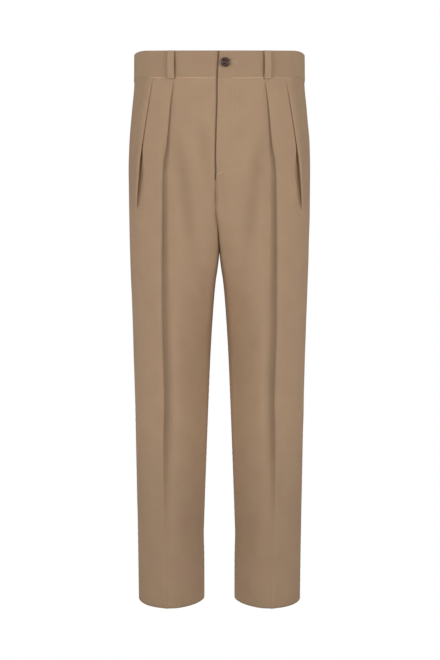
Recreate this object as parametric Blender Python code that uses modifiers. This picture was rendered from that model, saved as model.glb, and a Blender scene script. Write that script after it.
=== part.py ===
"""Pleated trousers, filled out as if worn: metres, +Z up, front towards -Y, wearer's left towards +X.

The origin is the middle of the waist, half way up the waistband. Every cloth piece is a wall on one
form: at each height half of the garment is a smooth outline from the centre (or the inseam) forward
and back to the side seam. The outlines come from the SECTIONS table. Pleats, creases and soft drape
folds are moves along the outline and away from it.
"""
import math
import bmesh
import bpy
import numpy as np

# ---------------------------------------------------------------- driving sizes
OBJECT = "pleated_trousers"
CLOTH = 0.0012                 # wall of the twill
BAND_CLOTH = 0.0026            # two plies of twill over canvas
SEAM_GAP = 0.0003              # between neighbouring pieces
WAIST_SEAM_GAP = 0.0007        # between the middles of the walls at the waist seam, whose rims lean
LAYER_PITCH = 0.0017           # from one folded layer of cloth to the next
BAND_TOP = 0.0218
BAND_BOTTOM = -0.025
HEM = -1.0305
WAIST_TILT = 0.085             # the waist is lower in front: rise in z for each metre towards the back
SIDE_DIP, DIP_REACH = 0.0085, 0.072      # and it dips at the side seams
TILT_FADE = (-0.05, -0.22)     # heights between which that slope and that dip die out

CROTCH_TOP = -0.255            # where the rise starts to curve under
CROTCH = -0.305                # lowest point of the crotch seam
CROTCH_Y = 0.005
RISE_POWER = 2.2               # shape of the curve of the rise
CLEFT_DEPTH = 0.025            # below its top the two fronts soon lie side by side
ROUND_CENTRE, ROUND_LOBE, ROUND_FRONT = 0.42, 0.62, 0.55      # handles of the inner arcs

FLY_END = -0.208
FLY_UNDERLAP = 0.014           # how far the right front passes under the left one
BAND_UNDERLAP = 0.036
LAP_GAP = 0.0005               # between a lap and the piece that passes under it
RAMP_START = 0.001             # from the centre to where the piece underneath starts to rise again
BUTTON_X, BUTTON_Z = 0.0105, 0.0012
BUTTON_DIAMETER = 0.017
BUTTONHOLE_LENGTH = 0.020
BAND_SEAM_X = 0.1167           # seam between front and side waistband, above the outer pleat

LOOP_WIDTH = 0.012
LOOP_CLOTH = 0.0016
LOOP_FOOT = BAND_BOTTOM - 0.0020
LOOP_HEAD = BAND_TOP - 0.0006
FRONT_LOOP_X = 0.0855
BACK_LOOP_X = 0.088

CREASE_FOOT = 0.0075           # width of the sloping side of the pressed crease

# ---------------------------------------------------------------- tables
# One row for each height: side seam, front point and back point of the outline. The turns are the
# angle in degrees by which the outline has already turned back at the front and back points, and
# round_out is how full the arcs from there to the side seam are.
SECTION_COLUMNS = ("z", "side_x", "side_y", "front_x", "front_y", "front_turn",
                   "back_x", "back_y", "back_turn", "round_out")
SECTIONS = (
    (0.025, 0.1584, 0.000, 0.082, -0.0975, 17, 0.080, 0.100, 16, 0.60),
    (-0.025, 0.1590, 0.000, 0.083, -0.1000, 17, 0.081, 0.107, 16, 0.60),
    (-0.085, 0.1642, 0.001, 0.088, -0.1085, 15, 0.084, 0.121, 14, 0.60),
    (-0.150, 0.1695, 0.003, 0.093, -0.1150, 12, 0.087, 0.134, 10, 0.60),
    (-0.210, 0.1712, 0.005, 0.096, -0.1180, 7, 0.089, 0.141, 6, 0.60),
    (-0.260, 0.1710, 0.006, 0.097, -0.1190, 3, 0.090, 0.139, 3, 0.60),
    (-0.305, 0.1705, 0.006, 0.097, -0.1180, 1, 0.090, 0.131, 1, 0.59),
    (-0.352, 0.1697, 0.005, 0.097, -0.1155, 0, 0.090, 0.122, 0, 0.58),
    (-0.453, 0.1669, 0.004, 0.097, -0.1080, 0, 0.091, 0.110, 0, 0.57),
    (-0.545, 0.1644, 0.004, 0.096, -0.0990, 0, 0.092, 0.101, 0, 0.56),
    (-0.639, 0.1626, 0.003, 0.0955, -0.0890, 0, 0.093, 0.092, 0, 0.56),
    (-0.717, 0.1614, 0.002, 0.095, -0.0815, 0, 0.0935, 0.087, 0, 0.55),
    (-0.796, 0.1603, 0.001, 0.0945, -0.0760, 0, 0.094, 0.083, 0, 0.55),
    (-0.900, 0.1590, 0.000, 0.094, -0.0705, 0, 0.094, 0.077, 0, 0.55),
    (-1.031, 0.1580, 0.000, 0.094, -0.0670, 0, 0.094, 0.072, 0, 0.55),
)
# Where the outline leaves the centre in front and behind, and the angle in degrees by which it then
# folds into the cleft between the legs: 0 across the centre, 90 where the legs lie side by side.
CENTRE_COLUMNS = ("z", "front_y", "back_y", "cleft")
CENTRES = (
    (0.025, -0.1095, 0.109, 0),
    (-0.025, -0.1125, 0.117, 0),
    (-0.085, -0.1200, 0.130, 0),
    (-0.150, -0.1240, 0.141, 0),
    (-0.210, -0.1225, 0.145, 0),
    (-0.235, -0.1200, 0.143, 0),
    (-0.255, -0.1165, 0.137, 10),
    (-0.280, -0.1085, 0.125, 42),
    (-0.305, -0.0960, 0.108, 72),
    (-0.335, -0.0780, 0.085, 87),
    (-0.365, -0.0580, 0.063, 90),
    (-0.407, -0.0340, 0.039, 90),
    (-0.453, -0.0160, 0.021, 90),
    (-0.545, 0.0030, 0.007, 90),
)
INSEAM_COLUMNS = ("z", "x")
INSEAM = (
    (-0.305, 0.0),
    (-0.348, 0.0),
    (-0.365, 0.0013),
    (-0.382, 0.0034),
    (-0.407, 0.0070),
    (-0.453, 0.0111),
    (-0.545, 0.0169),
    (-0.639, 0.0210),
    (-0.717, 0.0240),
    (-0.796, 0.0270),
    (-0.876, 0.0298),
    (-0.903, 0.0306),
    (-0.955, 0.0296),
    (-1.031, 0.0295),
)
# The centre front seam and the fly edge lie a little to the wearer's right of the middle.
DRIFT_COLUMNS = ("z", "x")
DRIFT = (
    (0.025, -0.0005),
    (-0.025, -0.0060),
    (-0.122, -0.0063),
    (-0.180, -0.0083),
    (-0.210, -0.0072),
    (-0.245, -0.0066),
    (-0.270, -0.0036),
    (-0.284, 0.0),
)
DRIFT_REACH = 0.060
# Pleats: x of the fold edge, depth folded under, lift of the edge, sink of the cloth beside it,
# and the lengths over which the cloth comes back to the outline before and after the fold.
# folded is 1 for a folded pleat, 0 for the one slope of a pressed crease.
PLEAT_COLUMNS = ("z", "x", "tuck", "lift", "sink", "lead_in", "lead_out", "folded")
INNER_PLEAT = (
    (-0.025, 0.0797, 0.0200, 0.0005, -0.0029, 0.0030, 0.006, 1),
    (-0.036, 0.0821, 0.0195, 0.0005, -0.0029, 0.0032, 0.006, 1),
    (-0.046, 0.0838, 0.0180, 0.0012, -0.0026, 0.0120, 0.009, 1),
    (-0.073, 0.0873, 0.0150, 0.0018, -0.0026, 0.0220, 0.012, 1),
    (-0.111, 0.0907, 0.0105, 0.0022, -0.0024, 0.0260, 0.016, 1),
    (-0.154, 0.0951, 0.0035, 0.0027, -0.0024, 0.0270, 0.020, 1),
    (-0.186, 0.1005, 0.0, 0.0030, -0.0027, 0.0270, 0.022, 0.5),
    (-0.222, 0.1031, 0.0, 0.0032, -0.0030, 0.0260, 0.024, 0),
    (-0.473, 0.1060, 0.0, 0.0034, -0.0030, 0.0240, 0.026, 0),
    (-0.623, 0.1034, 0.0, 0.0030, -0.0024, 0.0220, 0.026, 0),
    (-0.700, 0.1052, 0.0, 0.0025, -0.0013, 0.0200, 0.022, 0),
    (-0.923, 0.1046, 0.0, 0.0020, -0.0004, 0.0180, 0.016, 0),
    (-0.980, 0.1028, 0.0, 0.0019, -0.0003, 0.0170, 0.014, 0),
    (-1.031, 0.0998, 0.0, 0.0018, -0.0003, 0.0160, 0.014, 0),
)
OUTER_PLEAT = (
    (-0.025, 0.1180, 0.0150, 0.0005, -0.0029, 0.0030, 0.006, 1),
    (-0.036, 0.1210, 0.0150, 0.0005, -0.0029, 0.0032, 0.007, 1),
    (-0.046, 0.1226, 0.0145, 0.0012, -0.0026, 0.0060, 0.010, 1),
    (-0.081, 0.1286, 0.0125, 0.0020, -0.0026, 0.0090, 0.012, 1),
    (-0.125, 0.1361, 0.0090, 0.0026, -0.0026, 0.0100, 0.014, 1),
    (-0.170, 0.1419, 0.0050, 0.0034, -0.0028, 0.0110, 0.015, 1),
    (-0.208, 0.1452, 0.0020, 0.0038, -0.0028, 0.0120, 0.015, 1),
    (-0.235, 0.1479, 0.0, 0.0030, -0.0020, 0.0120, 0.015, 0.6),
    (-0.264, 0.1500, 0.0, 0.0015, -0.0008, 0.0120, 0.015, 0),
    (-0.294, 0.1522, 0.0, 0.0, 0.0, 0.0120, 0.015, 0),
)
BACK_CREASE_COLUMNS = ("z", "lift")
BACK_CREASE = (
    (-0.300, 0.0),
    (-0.400, 0.0022),
    (-0.560, 0.0034),
    (-0.860, 0.0036),
    (-1.031, 0.0032),
)
BACK_CREASE_REACH = 0.022
# Soft folds of the hanging cloth: top and bottom height and x, half width, and depth (in is minus).
DRAPE_FADE = 0.014             # the soft folds die out this far from a seam
DRAPE_COLUMNS = ("z_top", "x_top", "z_bottom", "x_bottom", "reach", "depth")
FRONT_DRAPE = {
    "left": (
        (-0.050, 0.0800, -0.330, 0.0520, 0.013, -0.0026),
        (-0.170, 0.0040, -0.300, 0.0170, 0.009, -0.0012),
        (-0.360, 0.0500, -0.700, 0.0560, 0.020, -0.0014),
        (-0.820, 0.0450, -0.960, 0.0600, 0.018, -0.0016),
    ),
    "right": (
        (-0.050, 0.0790, -0.340, 0.0500, 0.013, -0.0028),
        (-0.060, 0.0370, -0.280, 0.0060, 0.011, -0.0018),
        (-0.380, 0.0520, -0.720, 0.0540, 0.020, -0.0012),
        (-0.800, 0.0480, -0.950, 0.0620, 0.018, -0.0018),
    ),
}
BACK_DRAPE = {
    "left": (
        (-0.200, 0.0550, -0.420, 0.0850, 0.020, -0.0030),
        (-0.270, 0.0350, -0.520, 0.0560, 0.018, -0.0026),
        (-0.560, 0.0600, -0.760, 0.0720, 0.022, -0.0018),
    ),
    "right": (
        (-0.210, 0.0600, -0.400, 0.0900, 0.018, -0.0028),
        (-0.280, 0.0320, -0.540, 0.0580, 0.019, -0.0028),
        (-0.580, 0.0580, -0.780, 0.0700, 0.022, -0.0016),
    ),
}

# Heights of the rows of points down a front or a back.
UPPER_ROWS = (-0.036, -0.046, -0.066, -0.090, -0.115, -0.140, -0.163, -0.186)
FLY_ROWS = (FLY_END, FLY_END - 0.005, FLY_END - 0.013)
CROTCH_STEPS = 5
LEG_ROWS = (-0.325, -0.352, -0.385, -0.430, -0.485, -0.545, -0.605, -0.665, -0.725, -0.785,
            -0.840, -0.885, -0.925, -0.965, -1.000)

EDGE_STEP = 0.0035             # the narrow column of faces along each seam
ARC_STEPS = 36                 # points on each quarter of an outline


# ---------------------------------------------------------------- tracks: tables read at any height
def monotone_slopes(keys, values):
    """Slopes of a curve through the values that never overshoots them."""
    steps = [(values[i + 1] - values[i]) / (keys[i + 1] - keys[i]) for i in range(len(keys) - 1)]
    slopes = [steps[0]]
    for before, after in zip(steps, steps[1:]):
        flat = before * after <= 0
        slopes.append(0.0 if flat else 2 * before * after / (before + after))
    return slopes + [steps[-1]]


class Track:
    """One column of a table as a smooth function of height."""

    def __init__(self, rows, columns, name):
        place = columns.index(name)
        ordered = sorted(rows)
        self.keys = [row[0] for row in ordered]
        self.values = [row[place] for row in ordered]
        self.slopes = monotone_slopes(self.keys, self.values)

    def __call__(self, z):
        keys = self.keys
        if z <= keys[0]:
            return self.values[0]
        if z >= keys[-1]:
            return self.values[-1]
        i = max(k for k in range(len(keys) - 1) if keys[k] <= z)
        span = keys[i + 1] - keys[i]
        t = (z - keys[i]) / span
        return ((1 + 2 * t) * (1 - t) ** 2 * self.values[i]
                + t * (1 - t) ** 2 * span * self.slopes[i]
                + t * t * (3 - 2 * t) * self.values[i + 1]
                + t * t * (t - 1) * span * self.slopes[i + 1])


def tracks(rows, columns):
    return {name: Track(rows, columns, name) for name in columns[1:]}


SECTION = tracks(SECTIONS, SECTION_COLUMNS)
CENTRE = tracks(CENTRES, CENTRE_COLUMNS)
INSEAM_X = Track(INSEAM, INSEAM_COLUMNS, "x")
CENTRE_DRIFT = Track(DRIFT, DRIFT_COLUMNS, "x")
PLEATS = (tracks(INNER_PLEAT, PLEAT_COLUMNS), tracks(OUTER_PLEAT, PLEAT_COLUMNS))
BACK_CREASE_LIFT = Track(BACK_CREASE, BACK_CREASE_COLUMNS, "lift")


def smooth(t):
    t = min(max(t, 0.0), 1.0)
    return t * t * (3 - 2 * t)


# ---------------------------------------------------------------- the form
def bezier(start, leave, arrive, end):
    """Points of one cubic arc, from its two ends and its two handles."""
    t = np.linspace(0, 1, ARC_STEPS)[:, None]
    points = [np.array(p)[None, :] for p in (start, leave, arrive, end)]
    return ((1 - t) ** 3 * points[0] + 3 * t * (1 - t) ** 2 * points[1]
            + 3 * t * t * (1 - t) * points[2] + t ** 3 * points[3])


def rise_start(z, face):
    """Where a half's outline starts: on the centre seam, or on the inseam below the crotch."""
    wall = SEAM_GAP / 2 + CLOTH / 2 * smooth((CROTCH_TOP - z) / CLEFT_DEPTH)
    column = face + "_y"
    if z >= CROTCH_TOP:
        return wall, CENTRE[column](z)
    if z <= CROTCH:
        return wall + INSEAM_X(z), CROTCH_Y
    t = (CROTCH_TOP - z) / (CROTCH_TOP - CROTCH)
    depth = (1 - t ** RISE_POWER) ** (1 / RISE_POWER)
    return wall, CROTCH_Y + (CENTRE[column](CROTCH_TOP) - CROTCH_Y) * depth


class Outline:
    """Half a section at one height, front or back, measured by the length s from the centre.

    It goes forward along the middle as far as the legs lie side by side, which is its contact.
    """

    def __init__(self, z, face):
        sign = -1 if face == "front" else 1
        self.sign = sign
        x0, y_start = rise_start(z, face)
        y0 = CENTRE[face + "_y"](z)
        x1, y1 = SECTION[face + "_x"](z), SECTION[face + "_y"](z)
        x2, y2 = SECTION["side_x"](z) - CLOTH / 2, SECTION["side_y"](z)
        turn = math.radians(SECTION[face + "_turn"](z))
        cleft = math.radians(CENTRE["cleft"](z))
        level = (math.cos(turn), -sign * math.sin(turn))
        leave = ROUND_CENTRE * (x1 - x0)
        if cleft > 0:
            room = max(sign * (y1 - y0), 0.0)
            leave = min(leave, ROUND_LOBE * room / math.sin(cleft))
        arrive = ROUND_FRONT * (x1 - x0)
        self.contact = abs(y_start - y0)
        contact = np.empty((0, 2))
        if self.contact > 0.00001:
            contact = np.linspace((x0, y_start), (x0, y0), 9)[:-1]
        first = bezier((x0, y0),
                       (x0 + leave * math.cos(cleft), y0 + sign * leave * math.sin(cleft)),
                       (x1 - level[0] * arrive, y1 - level[1] * arrive),
                       (x1, y1))
        round_out = SECTION["round_out"](z)
        reach_x, reach_y = round_out * (x2 - x1), round_out * abs(y2 - y1)
        second = bezier((x1, y1),
                        (x1 + level[0] * reach_x, y1 + level[1] * reach_x),
                        (x2, y2 + sign * reach_y),
                        (x2, y2))
        self.points = np.vstack([contact, first, second[1:]])
        steps = np.hypot(*np.diff(self.points, axis=0).T)
        self.lengths = np.concatenate([[0.0], np.cumsum(steps)])
        self.total = self.lengths[-1]

    def length_at(self, x):
        """The length at which the outline, still going outwards, has reached x."""
        return float(np.interp(x, self.points[:, 0], self.lengths))

    def place(self, s):
        """The plain point at a length, on the other half where s is below 0."""
        mirrored = -1 if s < 0 else 1
        x = np.interp(abs(s), self.lengths, self.points[:, 0])
        y = np.interp(abs(s), self.lengths, self.points[:, 1])
        return np.array([mirrored * x, y])

    def point(self, s, out=0.0):
        """The point at a length, moved out of the garment by out."""
        step = 0.0015
        low = max(s - step, -self.total)
        high = min(s + step, self.total)
        along = self.place(high) - self.place(low)
        along = along / np.hypot(*along)
        normal = self.sign * np.array([-along[1], along[0]])
        return self.place(s) + out * normal


def world(x, y, z, half):
    """A point of one half in the object's frame: mirrored, drifted at the centre front and tilted."""
    x = x * (1 if half == "left" else -1)
    q = min(abs(x) / DRIFT_REACH, 1.0)
    in_front = 1 - smooth((y + 0.03) / 0.06)
    x = x + CENTRE_DRIFT(z) * (1 - q * q) ** 2 * in_front
    fade = 1 - smooth((TILT_FADE[0] - z) / (TILT_FADE[0] - TILT_FADE[1]))
    dip = SIDE_DIP * smooth(1 - abs(y) / DIP_REACH)
    return x, y, z + (WAIST_TILT * y - dip) * fade


# ---------------------------------------------------------------- relief
def drape(table, x, z, from_edge):
    """Depth of the soft folds at a point, which die out towards the seams."""
    total = 0.0
    for row in table:
        fold = dict(zip(DRAPE_COLUMNS, row))
        t = (fold["z_top"] - z) / (fold["z_top"] - fold["z_bottom"])
        if 0 < t < 1:
            middle = fold["x_top"] + (fold["x_bottom"] - fold["x_top"]) * t
            across = math.exp(-((x - middle) / fold["reach"]) ** 2)
            total += fold["depth"] * math.sin(math.pi * t) ** 2 * across
    return total * smooth(from_edge / DRAPE_FADE)


def pleat_layers(pleat, z, line):
    """The cloth's way through one pleat, from the inside out: lengths along the outline and heights.

    The cloth sinks towards the fold, runs under it, turns back to the edge, turns again and goes on
    over itself. Where the pleat has run out the same points make the one slope of a crease.
    """
    edge = line.length_at(pleat["x"](z))
    tuck, lift, sink = pleat["tuck"](z), pleat["lift"](z), pleat["sink"](z)
    lead_in, lead_out, folded = pleat["lead_in"](z), pleat["lead_out"](z), pleat["folded"](z)
    turn = 0.6 * LAYER_PITCH
    top, middle = lift, lift - LAYER_PITCH
    bottom = lift - 2 * LAYER_PITCH
    fall = 0.25 * lift * smooth(tuck / 0.004)        # the top layer already settles over the tuck
    fold = [
        (-0.002, sink),
        (tuck, bottom - fall),
        (tuck + turn, bottom - fall + 0.25 * LAYER_PITCH),
        (tuck + turn, bottom - fall + 0.75 * LAYER_PITCH),
        (tuck, middle - fall),
        (0.0, middle),
        (-turn, middle + 0.25 * LAYER_PITCH),
        (-turn, middle + 0.75 * LAYER_PITCH),
        (0.0, top),
    ]
    last = len(fold) - 1
    slope = [(-CREASE_FOOT * (1 - i / last), sink + (lift - sink) * i / last) for i in range(last + 1)]
    if folded == 0:
        slope = [slope[0]] + [slope[-1]] * last
    way = [(folded * f[0] + (1 - folded) * g[0], folded * f[1] + (1 - folded) * g[1])
           for f, g in zip(fold, slope)]
    before = [(way[0][0] - lead_in, 0.0), (way[0][0] - 0.45 * lead_in, 0.45 * sink)]
    over = tuck + 2 * turn * folded
    rest = lift - fall
    after = [(over + 0.002, rest), (over + 0.45 * lead_out, 0.4 * rest), (over + lead_out, 0.0)]
    return [(edge + s, n) for s, n in before + way + after]


def between(first, last, count):
    """Evenly spaced values inside a span, without its ends."""
    return [first + (last - first) * (i + 1) / (count + 1) for i in range(count)]


def ramp_under(s, edge, width, depth):
    """How far a piece goes inwards to pass under its neighbour beyond an edge."""
    return -depth * smooth((edge + width - s) / width)


# ---------------------------------------------------------------- rows of points
def row_heights():
    curve = [CROTCH_TOP - (CROTCH_TOP - CROTCH) * math.sin(math.pi / 2 * i / CROTCH_STEPS)
             for i in range(CROTCH_STEPS + 1)]
    return [BAND_BOTTOM - WAIST_SEAM_GAP / 2, *UPPER_ROWS, *FLY_ROWS, -0.238, *curve, *LEG_ROWS, HEM]


def lobe_lengths(line, last, count):
    """Lengths from beside the centre to the middle of the leg, closer together where the outline bends."""
    bend = max(line.contact, EDGE_STEP + 0.004)
    steps = [(i / (count + 1)) ** 1.35 for i in range(1, count + 1)]
    return [(EDGE_STEP + bend) / 2, bend] + [bend + (last - bend) * step for step in steps]


def front_row(half, z):
    """One row of a front: from the fly, the centre seam or the inseam out to the side seam."""
    line = Outline(z, "front")
    inner, outer = (pleat_layers(pleat, z, line) for pleat in PLEATS)
    start, stop = 0.0, line.total - SEAM_GAP / 2
    if z <= CROTCH:
        start = SEAM_GAP / 2
    lengths = [start, start + EDGE_STEP]
    passes_under = half == "right" and z >= FLY_ROWS[1]
    if passes_under:
        under = FLY_UNDERLAP if z >= FLY_END else 0.0
        lengths = [start - under, start + EDGE_STEP / 2]
    lengths += lobe_lengths(line, inner[0][0], 4)
    row = [(s, 0.0) for s in lengths] + inner
    row += [(s, 0.0) for s in between(inner[-1][0], outer[0][0], 1)]
    row += outer
    row += [(s, 0.0) for s in between(outer[-1][0], stop - EDGE_STEP, 1)]
    row += [(stop - EDGE_STEP, 0.0), (stop, 0.0)]
    points = []
    for s, out in row:
        over = half if s >= 0 else "left"
        out += drape(FRONT_DRAPE[over], abs(line.place(s)[0]), z, min(abs(s), line.total - s))
        if passes_under:
            out += ramp_under(s, RAMP_START, 0.009, CLOTH + LAP_GAP)
        points.append(world(*line.point(s, out), z, half))
    return points


def back_row(half, z):
    """One row of a back: from the centre seam or the inseam out to the side seam."""
    line = Outline(z, "back")
    crease = line.length_at(SECTION["back_x"](z))
    start, stop = 0.0, line.total - SEAM_GAP / 2
    if z <= CROTCH:
        start = SEAM_GAP / 2
    side = stop - EDGE_STEP
    lengths = [start, start + EDGE_STEP, *lobe_lengths(line, crease - BACK_CREASE_REACH, 3),
               crease - BACK_CREASE_REACH, crease - 0.45 * BACK_CREASE_REACH, crease,
               crease + 0.45 * BACK_CREASE_REACH, crease + BACK_CREASE_REACH,
               *between(crease + BACK_CREASE_REACH, side, 4), side, stop]
    points = []
    for s in lengths:
        tent = max(0.0, 1 - abs(s - crease) / BACK_CREASE_REACH) ** 1.6
        out = BACK_CREASE_LIFT(z) * tent
        out += drape(BACK_DRAPE[half], line.place(s)[0], z, min(s, line.total - s))
        points.append(world(*line.point(s, out), z, half))
    return points


def band_front_row(half, z):
    """One row of a front waistband: from the fly edge or the end of the underlap to its side seam."""
    line = Outline(z, "front")
    stop = line.length_at(BAND_SEAM_X) - SEAM_GAP / 2
    if half == "left":
        lengths = [0.0, 0.003, *between(0.003, stop - 0.003, 10), stop - 0.003, stop]
        return [world(*line.point(s), z, half) for s in lengths]
    width = 0.010
    ramp = [RAMP_START + width * i / 4 for i in range(5)]
    lengths = [-BAND_UNDERLAP, *between(-BAND_UNDERLAP, RAMP_START, 3), *ramp,
               *between(ramp[-1], stop - 0.003, 8), stop - 0.003, stop]
    depth = BAND_CLOTH + LAP_GAP
    return [world(*line.point(s, ramp_under(s, RAMP_START, width, depth)), z, half) for s in lengths]


def band_back_row(half, z):
    """One row of a side and back waistband: from the centre back seam round to the front one."""
    behind = Outline(z, "back")
    ahead = Outline(z, "front")
    start = ahead.length_at(BAND_SEAM_X) + SEAM_GAP / 2
    lengths = [0.0, 0.003, *between(0.003, behind.total, 22)]
    row = [world(*behind.point(s), z, half) for s in lengths]
    row.append(world(*behind.place(behind.total), z, half))
    lengths = [*between(ahead.total, start + 0.003, 8), start + 0.003, start]
    return row + [world(*ahead.point(s), z, half) for s in lengths]


# ---------------------------------------------------------------- building pieces
def material(name, colour, roughness):
    made = bpy.data.materials.new(name)
    made.use_nodes = True
    shader = made.node_tree.nodes["Principled BSDF"]
    shader.inputs["Base Color"].default_value = (*colour, 1)
    shader.inputs["Roughness"].default_value = roughness
    shader.inputs["Metallic"].default_value = 0.0
    return made


def add_object(name, mesh, collection, finish):
    piece = bpy.data.objects.new(name, mesh)
    piece.data.materials.append(finish)
    collection.objects.link(piece)
    return piece


def sheet(name, rows, thickness, collection, finish, flip):
    """A wall through rows of points: a grid whose coinciding points are welded, made solid."""
    grid = bmesh.new()
    columns = [[grid.verts.new(point) for point in row] for row in rows]
    for upper, lower in zip(columns, columns[1:]):
        for i in range(len(upper) - 1):
            corners = [upper[i], lower[i], lower[i + 1], upper[i + 1]]
            grid.faces.new(corners[::-1] if flip else corners)
    bmesh.ops.remove_doubles(grid, verts=grid.verts, dist=1e-6)
    mesh = bpy.data.meshes.new(name)
    grid.to_mesh(mesh)
    grid.free()
    mesh.shade_smooth()
    piece = add_object(name, mesh, collection, finish)
    solid = piece.modifiers.new("wall", "SOLIDIFY")
    solid.thickness = thickness
    solid.offset = 0
    return piece


def belt_loop_rows(half, face, s):
    """Rows of a belt loop: a strip folded under at its foot, up the waistband and folded under again."""
    low, high = LOOP_FOOT, LOOP_HEAD
    base = BAND_CLOTH / 2 + SEAM_GAP + LOOP_CLOTH / 2
    fold = LOOP_CLOTH + 0.0004
    bow = 0.0018
    round_end = 0.0018
    end = 0.0080
    inner, outer = base + 0.25 * fold, base + 0.75 * fold
    foot = [(low + end, base), (low + round_end, base), (low, inner), (low, outer)]
    rise = [(low + round_end + (high - low - 2 * round_end) * i / 6,
             base + fold + bow * math.sin(math.pi * i / 6)) for i in range(7)]
    head = [(high, outer), (high, inner), (high - round_end, base), (high - end, base)]
    across = (-LOOP_WIDTH / 2, 0.0, LOOP_WIDTH / 2)
    rows = []
    for z, out in foot + rise + head:
        line = Outline(z, face)
        rows.append([world(*line.point(s + step, out), z, half) for step in across])
    return rows


def button_profile():
    """Half of the button's outline, from its back to its face: a dished face inside a rounded rim."""
    r = BUTTON_DIAMETER / 2
    return [(0.0, 0.0), (0.62 * r, 0.0), (0.93 * r, 0.0007), (r, 0.0015), (0.95 * r, 0.0024),
            (0.84 * r, 0.0027), (0.72 * r, 0.0022), (0.60 * r, 0.0017), (0.0, 0.0017)]


def turned(name, profile, steps, collection, finish):
    """A profile turned about Z."""
    mesh = bpy.data.meshes.new(name)
    outline = bmesh.new()
    verts = [outline.verts.new((x, 0, z)) for x, z in profile]
    for a, b in zip(verts, verts[1:]):
        outline.edges.new((a, b))
    outline.to_mesh(mesh)
    outline.free()
    piece = add_object(name, mesh, collection, finish)
    screw = piece.modifiers.new("turn", "SCREW")
    screw.steps = steps
    screw.render_steps = steps
    screw.use_merge_vertices = True
    screw.merge_threshold = 0.00001
    screw.use_normal_calculate = True
    return piece


def cylinder(name, radius, length, sides, collection, finish):
    mesh = bpy.data.meshes.new(name)
    shape = bmesh.new()
    bmesh.ops.create_cone(shape, cap_ends=True, segments=sides, radius1=radius, radius2=radius, depth=length)
    shape.to_mesh(mesh)
    shape.free()
    return add_object(name, mesh, collection, finish)


def cut(piece, cutter):
    """Cut one piece with another, which stays as a guide that isn't part of the object."""
    cutter.hide_render = True
    cutter.display_type = "WIRE"
    boolean = piece.modifiers.new("cut_" + cutter.name, "BOOLEAN")
    boolean.operation = "DIFFERENCE"
    boolean.solver = "EXACT"
    boolean.object = cutter


def add_button(collection, cutters, horn, thread, hole_owner):
    """The button stands on a thread shank that rises from the underlap through the buttonhole."""
    line = Outline(BUTTON_Z, "front")
    s = line.length_at(BUTTON_X - CENTRE_DRIFT(BUTTON_Z))
    x, y, z = world(*line.place(s), BUTTON_Z, "left")
    band_face = y - BAND_CLOTH / 2
    underlap_face = y + BAND_CLOTH / 2 + LAP_GAP
    back = band_face - 0.0012

    button = turned("button", button_profile(), 26, collection, horn)
    button.location = (x, back, z)
    button.rotation_euler = (math.pi / 2, 0, 0)
    for i in range(4):
        angle = math.pi / 4 + i * math.pi / 2
        hole = cylinder(f"button_hole_{i + 1}", 0.0008, 0.008, 9, cutters, horn)
        hole.location = (x + 0.0019 * math.cos(angle), back - 0.001, z + 0.0019 * math.sin(angle))
        hole.rotation_euler = (math.pi / 2, 0, 0)
        cut(button, hole)

    foot, head = underlap_face - SEAM_GAP, back + SEAM_GAP
    shank = cylinder("button_shank", 0.0011, foot - head, 10, collection, thread)
    shank.location = (x, (foot + head) / 2, z)
    shank.rotation_euler = (math.pi / 2, 0, 0)

    eye = cylinder("buttonhole_eye", 0.0018, 0.012, 12, cutters, thread)
    eye.location = (x, y, z)
    eye.rotation_euler = (math.pi / 2, 0, 0)
    slit = cylinder("buttonhole_slit", BUTTONHOLE_LENGTH / 2, 0.012, 4, cutters, thread)
    slit.location = (x + BUTTONHOLE_LENGTH / 2, y, z)
    slit.scale = (1, 0.08, 1)
    slit.rotation_euler = (math.pi / 2, 0, 0)
    cut(hole_owner, eye)
    cut(hole_owner, slit)


def build():
    for old in list(bpy.data.objects):
        bpy.data.objects.remove(old, do_unlink=True)
    parts = bpy.data.collections.new(OBJECT)
    cutters = bpy.data.collections.new("cutters")
    bpy.context.scene.collection.children.link(parts)
    bpy.context.scene.collection.children.link(cutters)
    twill = material("twill", (0.36, 0.25, 0.16), 0.85)
    horn = material("horn", (0.035, 0.018, 0.012), 0.35)
    thread = material("thread", (0.16, 0.10, 0.06), 0.8)

    heights = row_heights()
    band_foot = BAND_BOTTOM + WAIST_SEAM_GAP / 2
    band_heights = [BAND_TOP - (BAND_TOP - band_foot) * i / 3 for i in range(4)]
    for half in ("left", "right"):
        turned_over = half == "right"
        sheet("front_" + half, [front_row(half, z) for z in heights], CLOTH, parts, twill, turned_over)
        sheet("back_" + half, [back_row(half, z) for z in heights], CLOTH, parts, twill, not turned_over)
        front_band = sheet("waistband_front_" + half, [band_front_row(half, z) for z in band_heights],
                           BAND_CLOTH, parts, twill, turned_over)
        sheet("waistband_back_" + half, [band_back_row(half, z) for z in band_heights],
              BAND_CLOTH, parts, twill, not turned_over)
        if half == "left":
            add_button(parts, cutters, horn, thread, front_band)
        for face, x in (("front", FRONT_LOOP_X), ("back", BACK_LOOP_X)):
            s = Outline(0.0, face).length_at(x)
            rows = belt_loop_rows(half, face, s)
            sheet(f"belt_loop_{face}_{half}", rows, LOOP_CLOTH, parts, twill,
                  turned_over if face == "front" else not turned_over)
    rows = belt_loop_rows("left", "back", 0.0)
    sheet("belt_loop_back_centre", rows, LOOP_CLOTH, parts, twill, True)


build()
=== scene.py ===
"""The looks of the pleated trousers: metres, +Z up, front towards -Y, wearer's left towards +X.

Every cloth piece is a fine shell on the form of the solid that it stands for. The form comes from the
same driving sizes and tables: at each height, half of the garment is an outline from the centre or
the inseam forward and back to the side seam. A point of a panel is a length s along that outline and
a height out from it. Pleats, creases, seams, soft folds and sewing are moves in those two numbers.
"""

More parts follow.
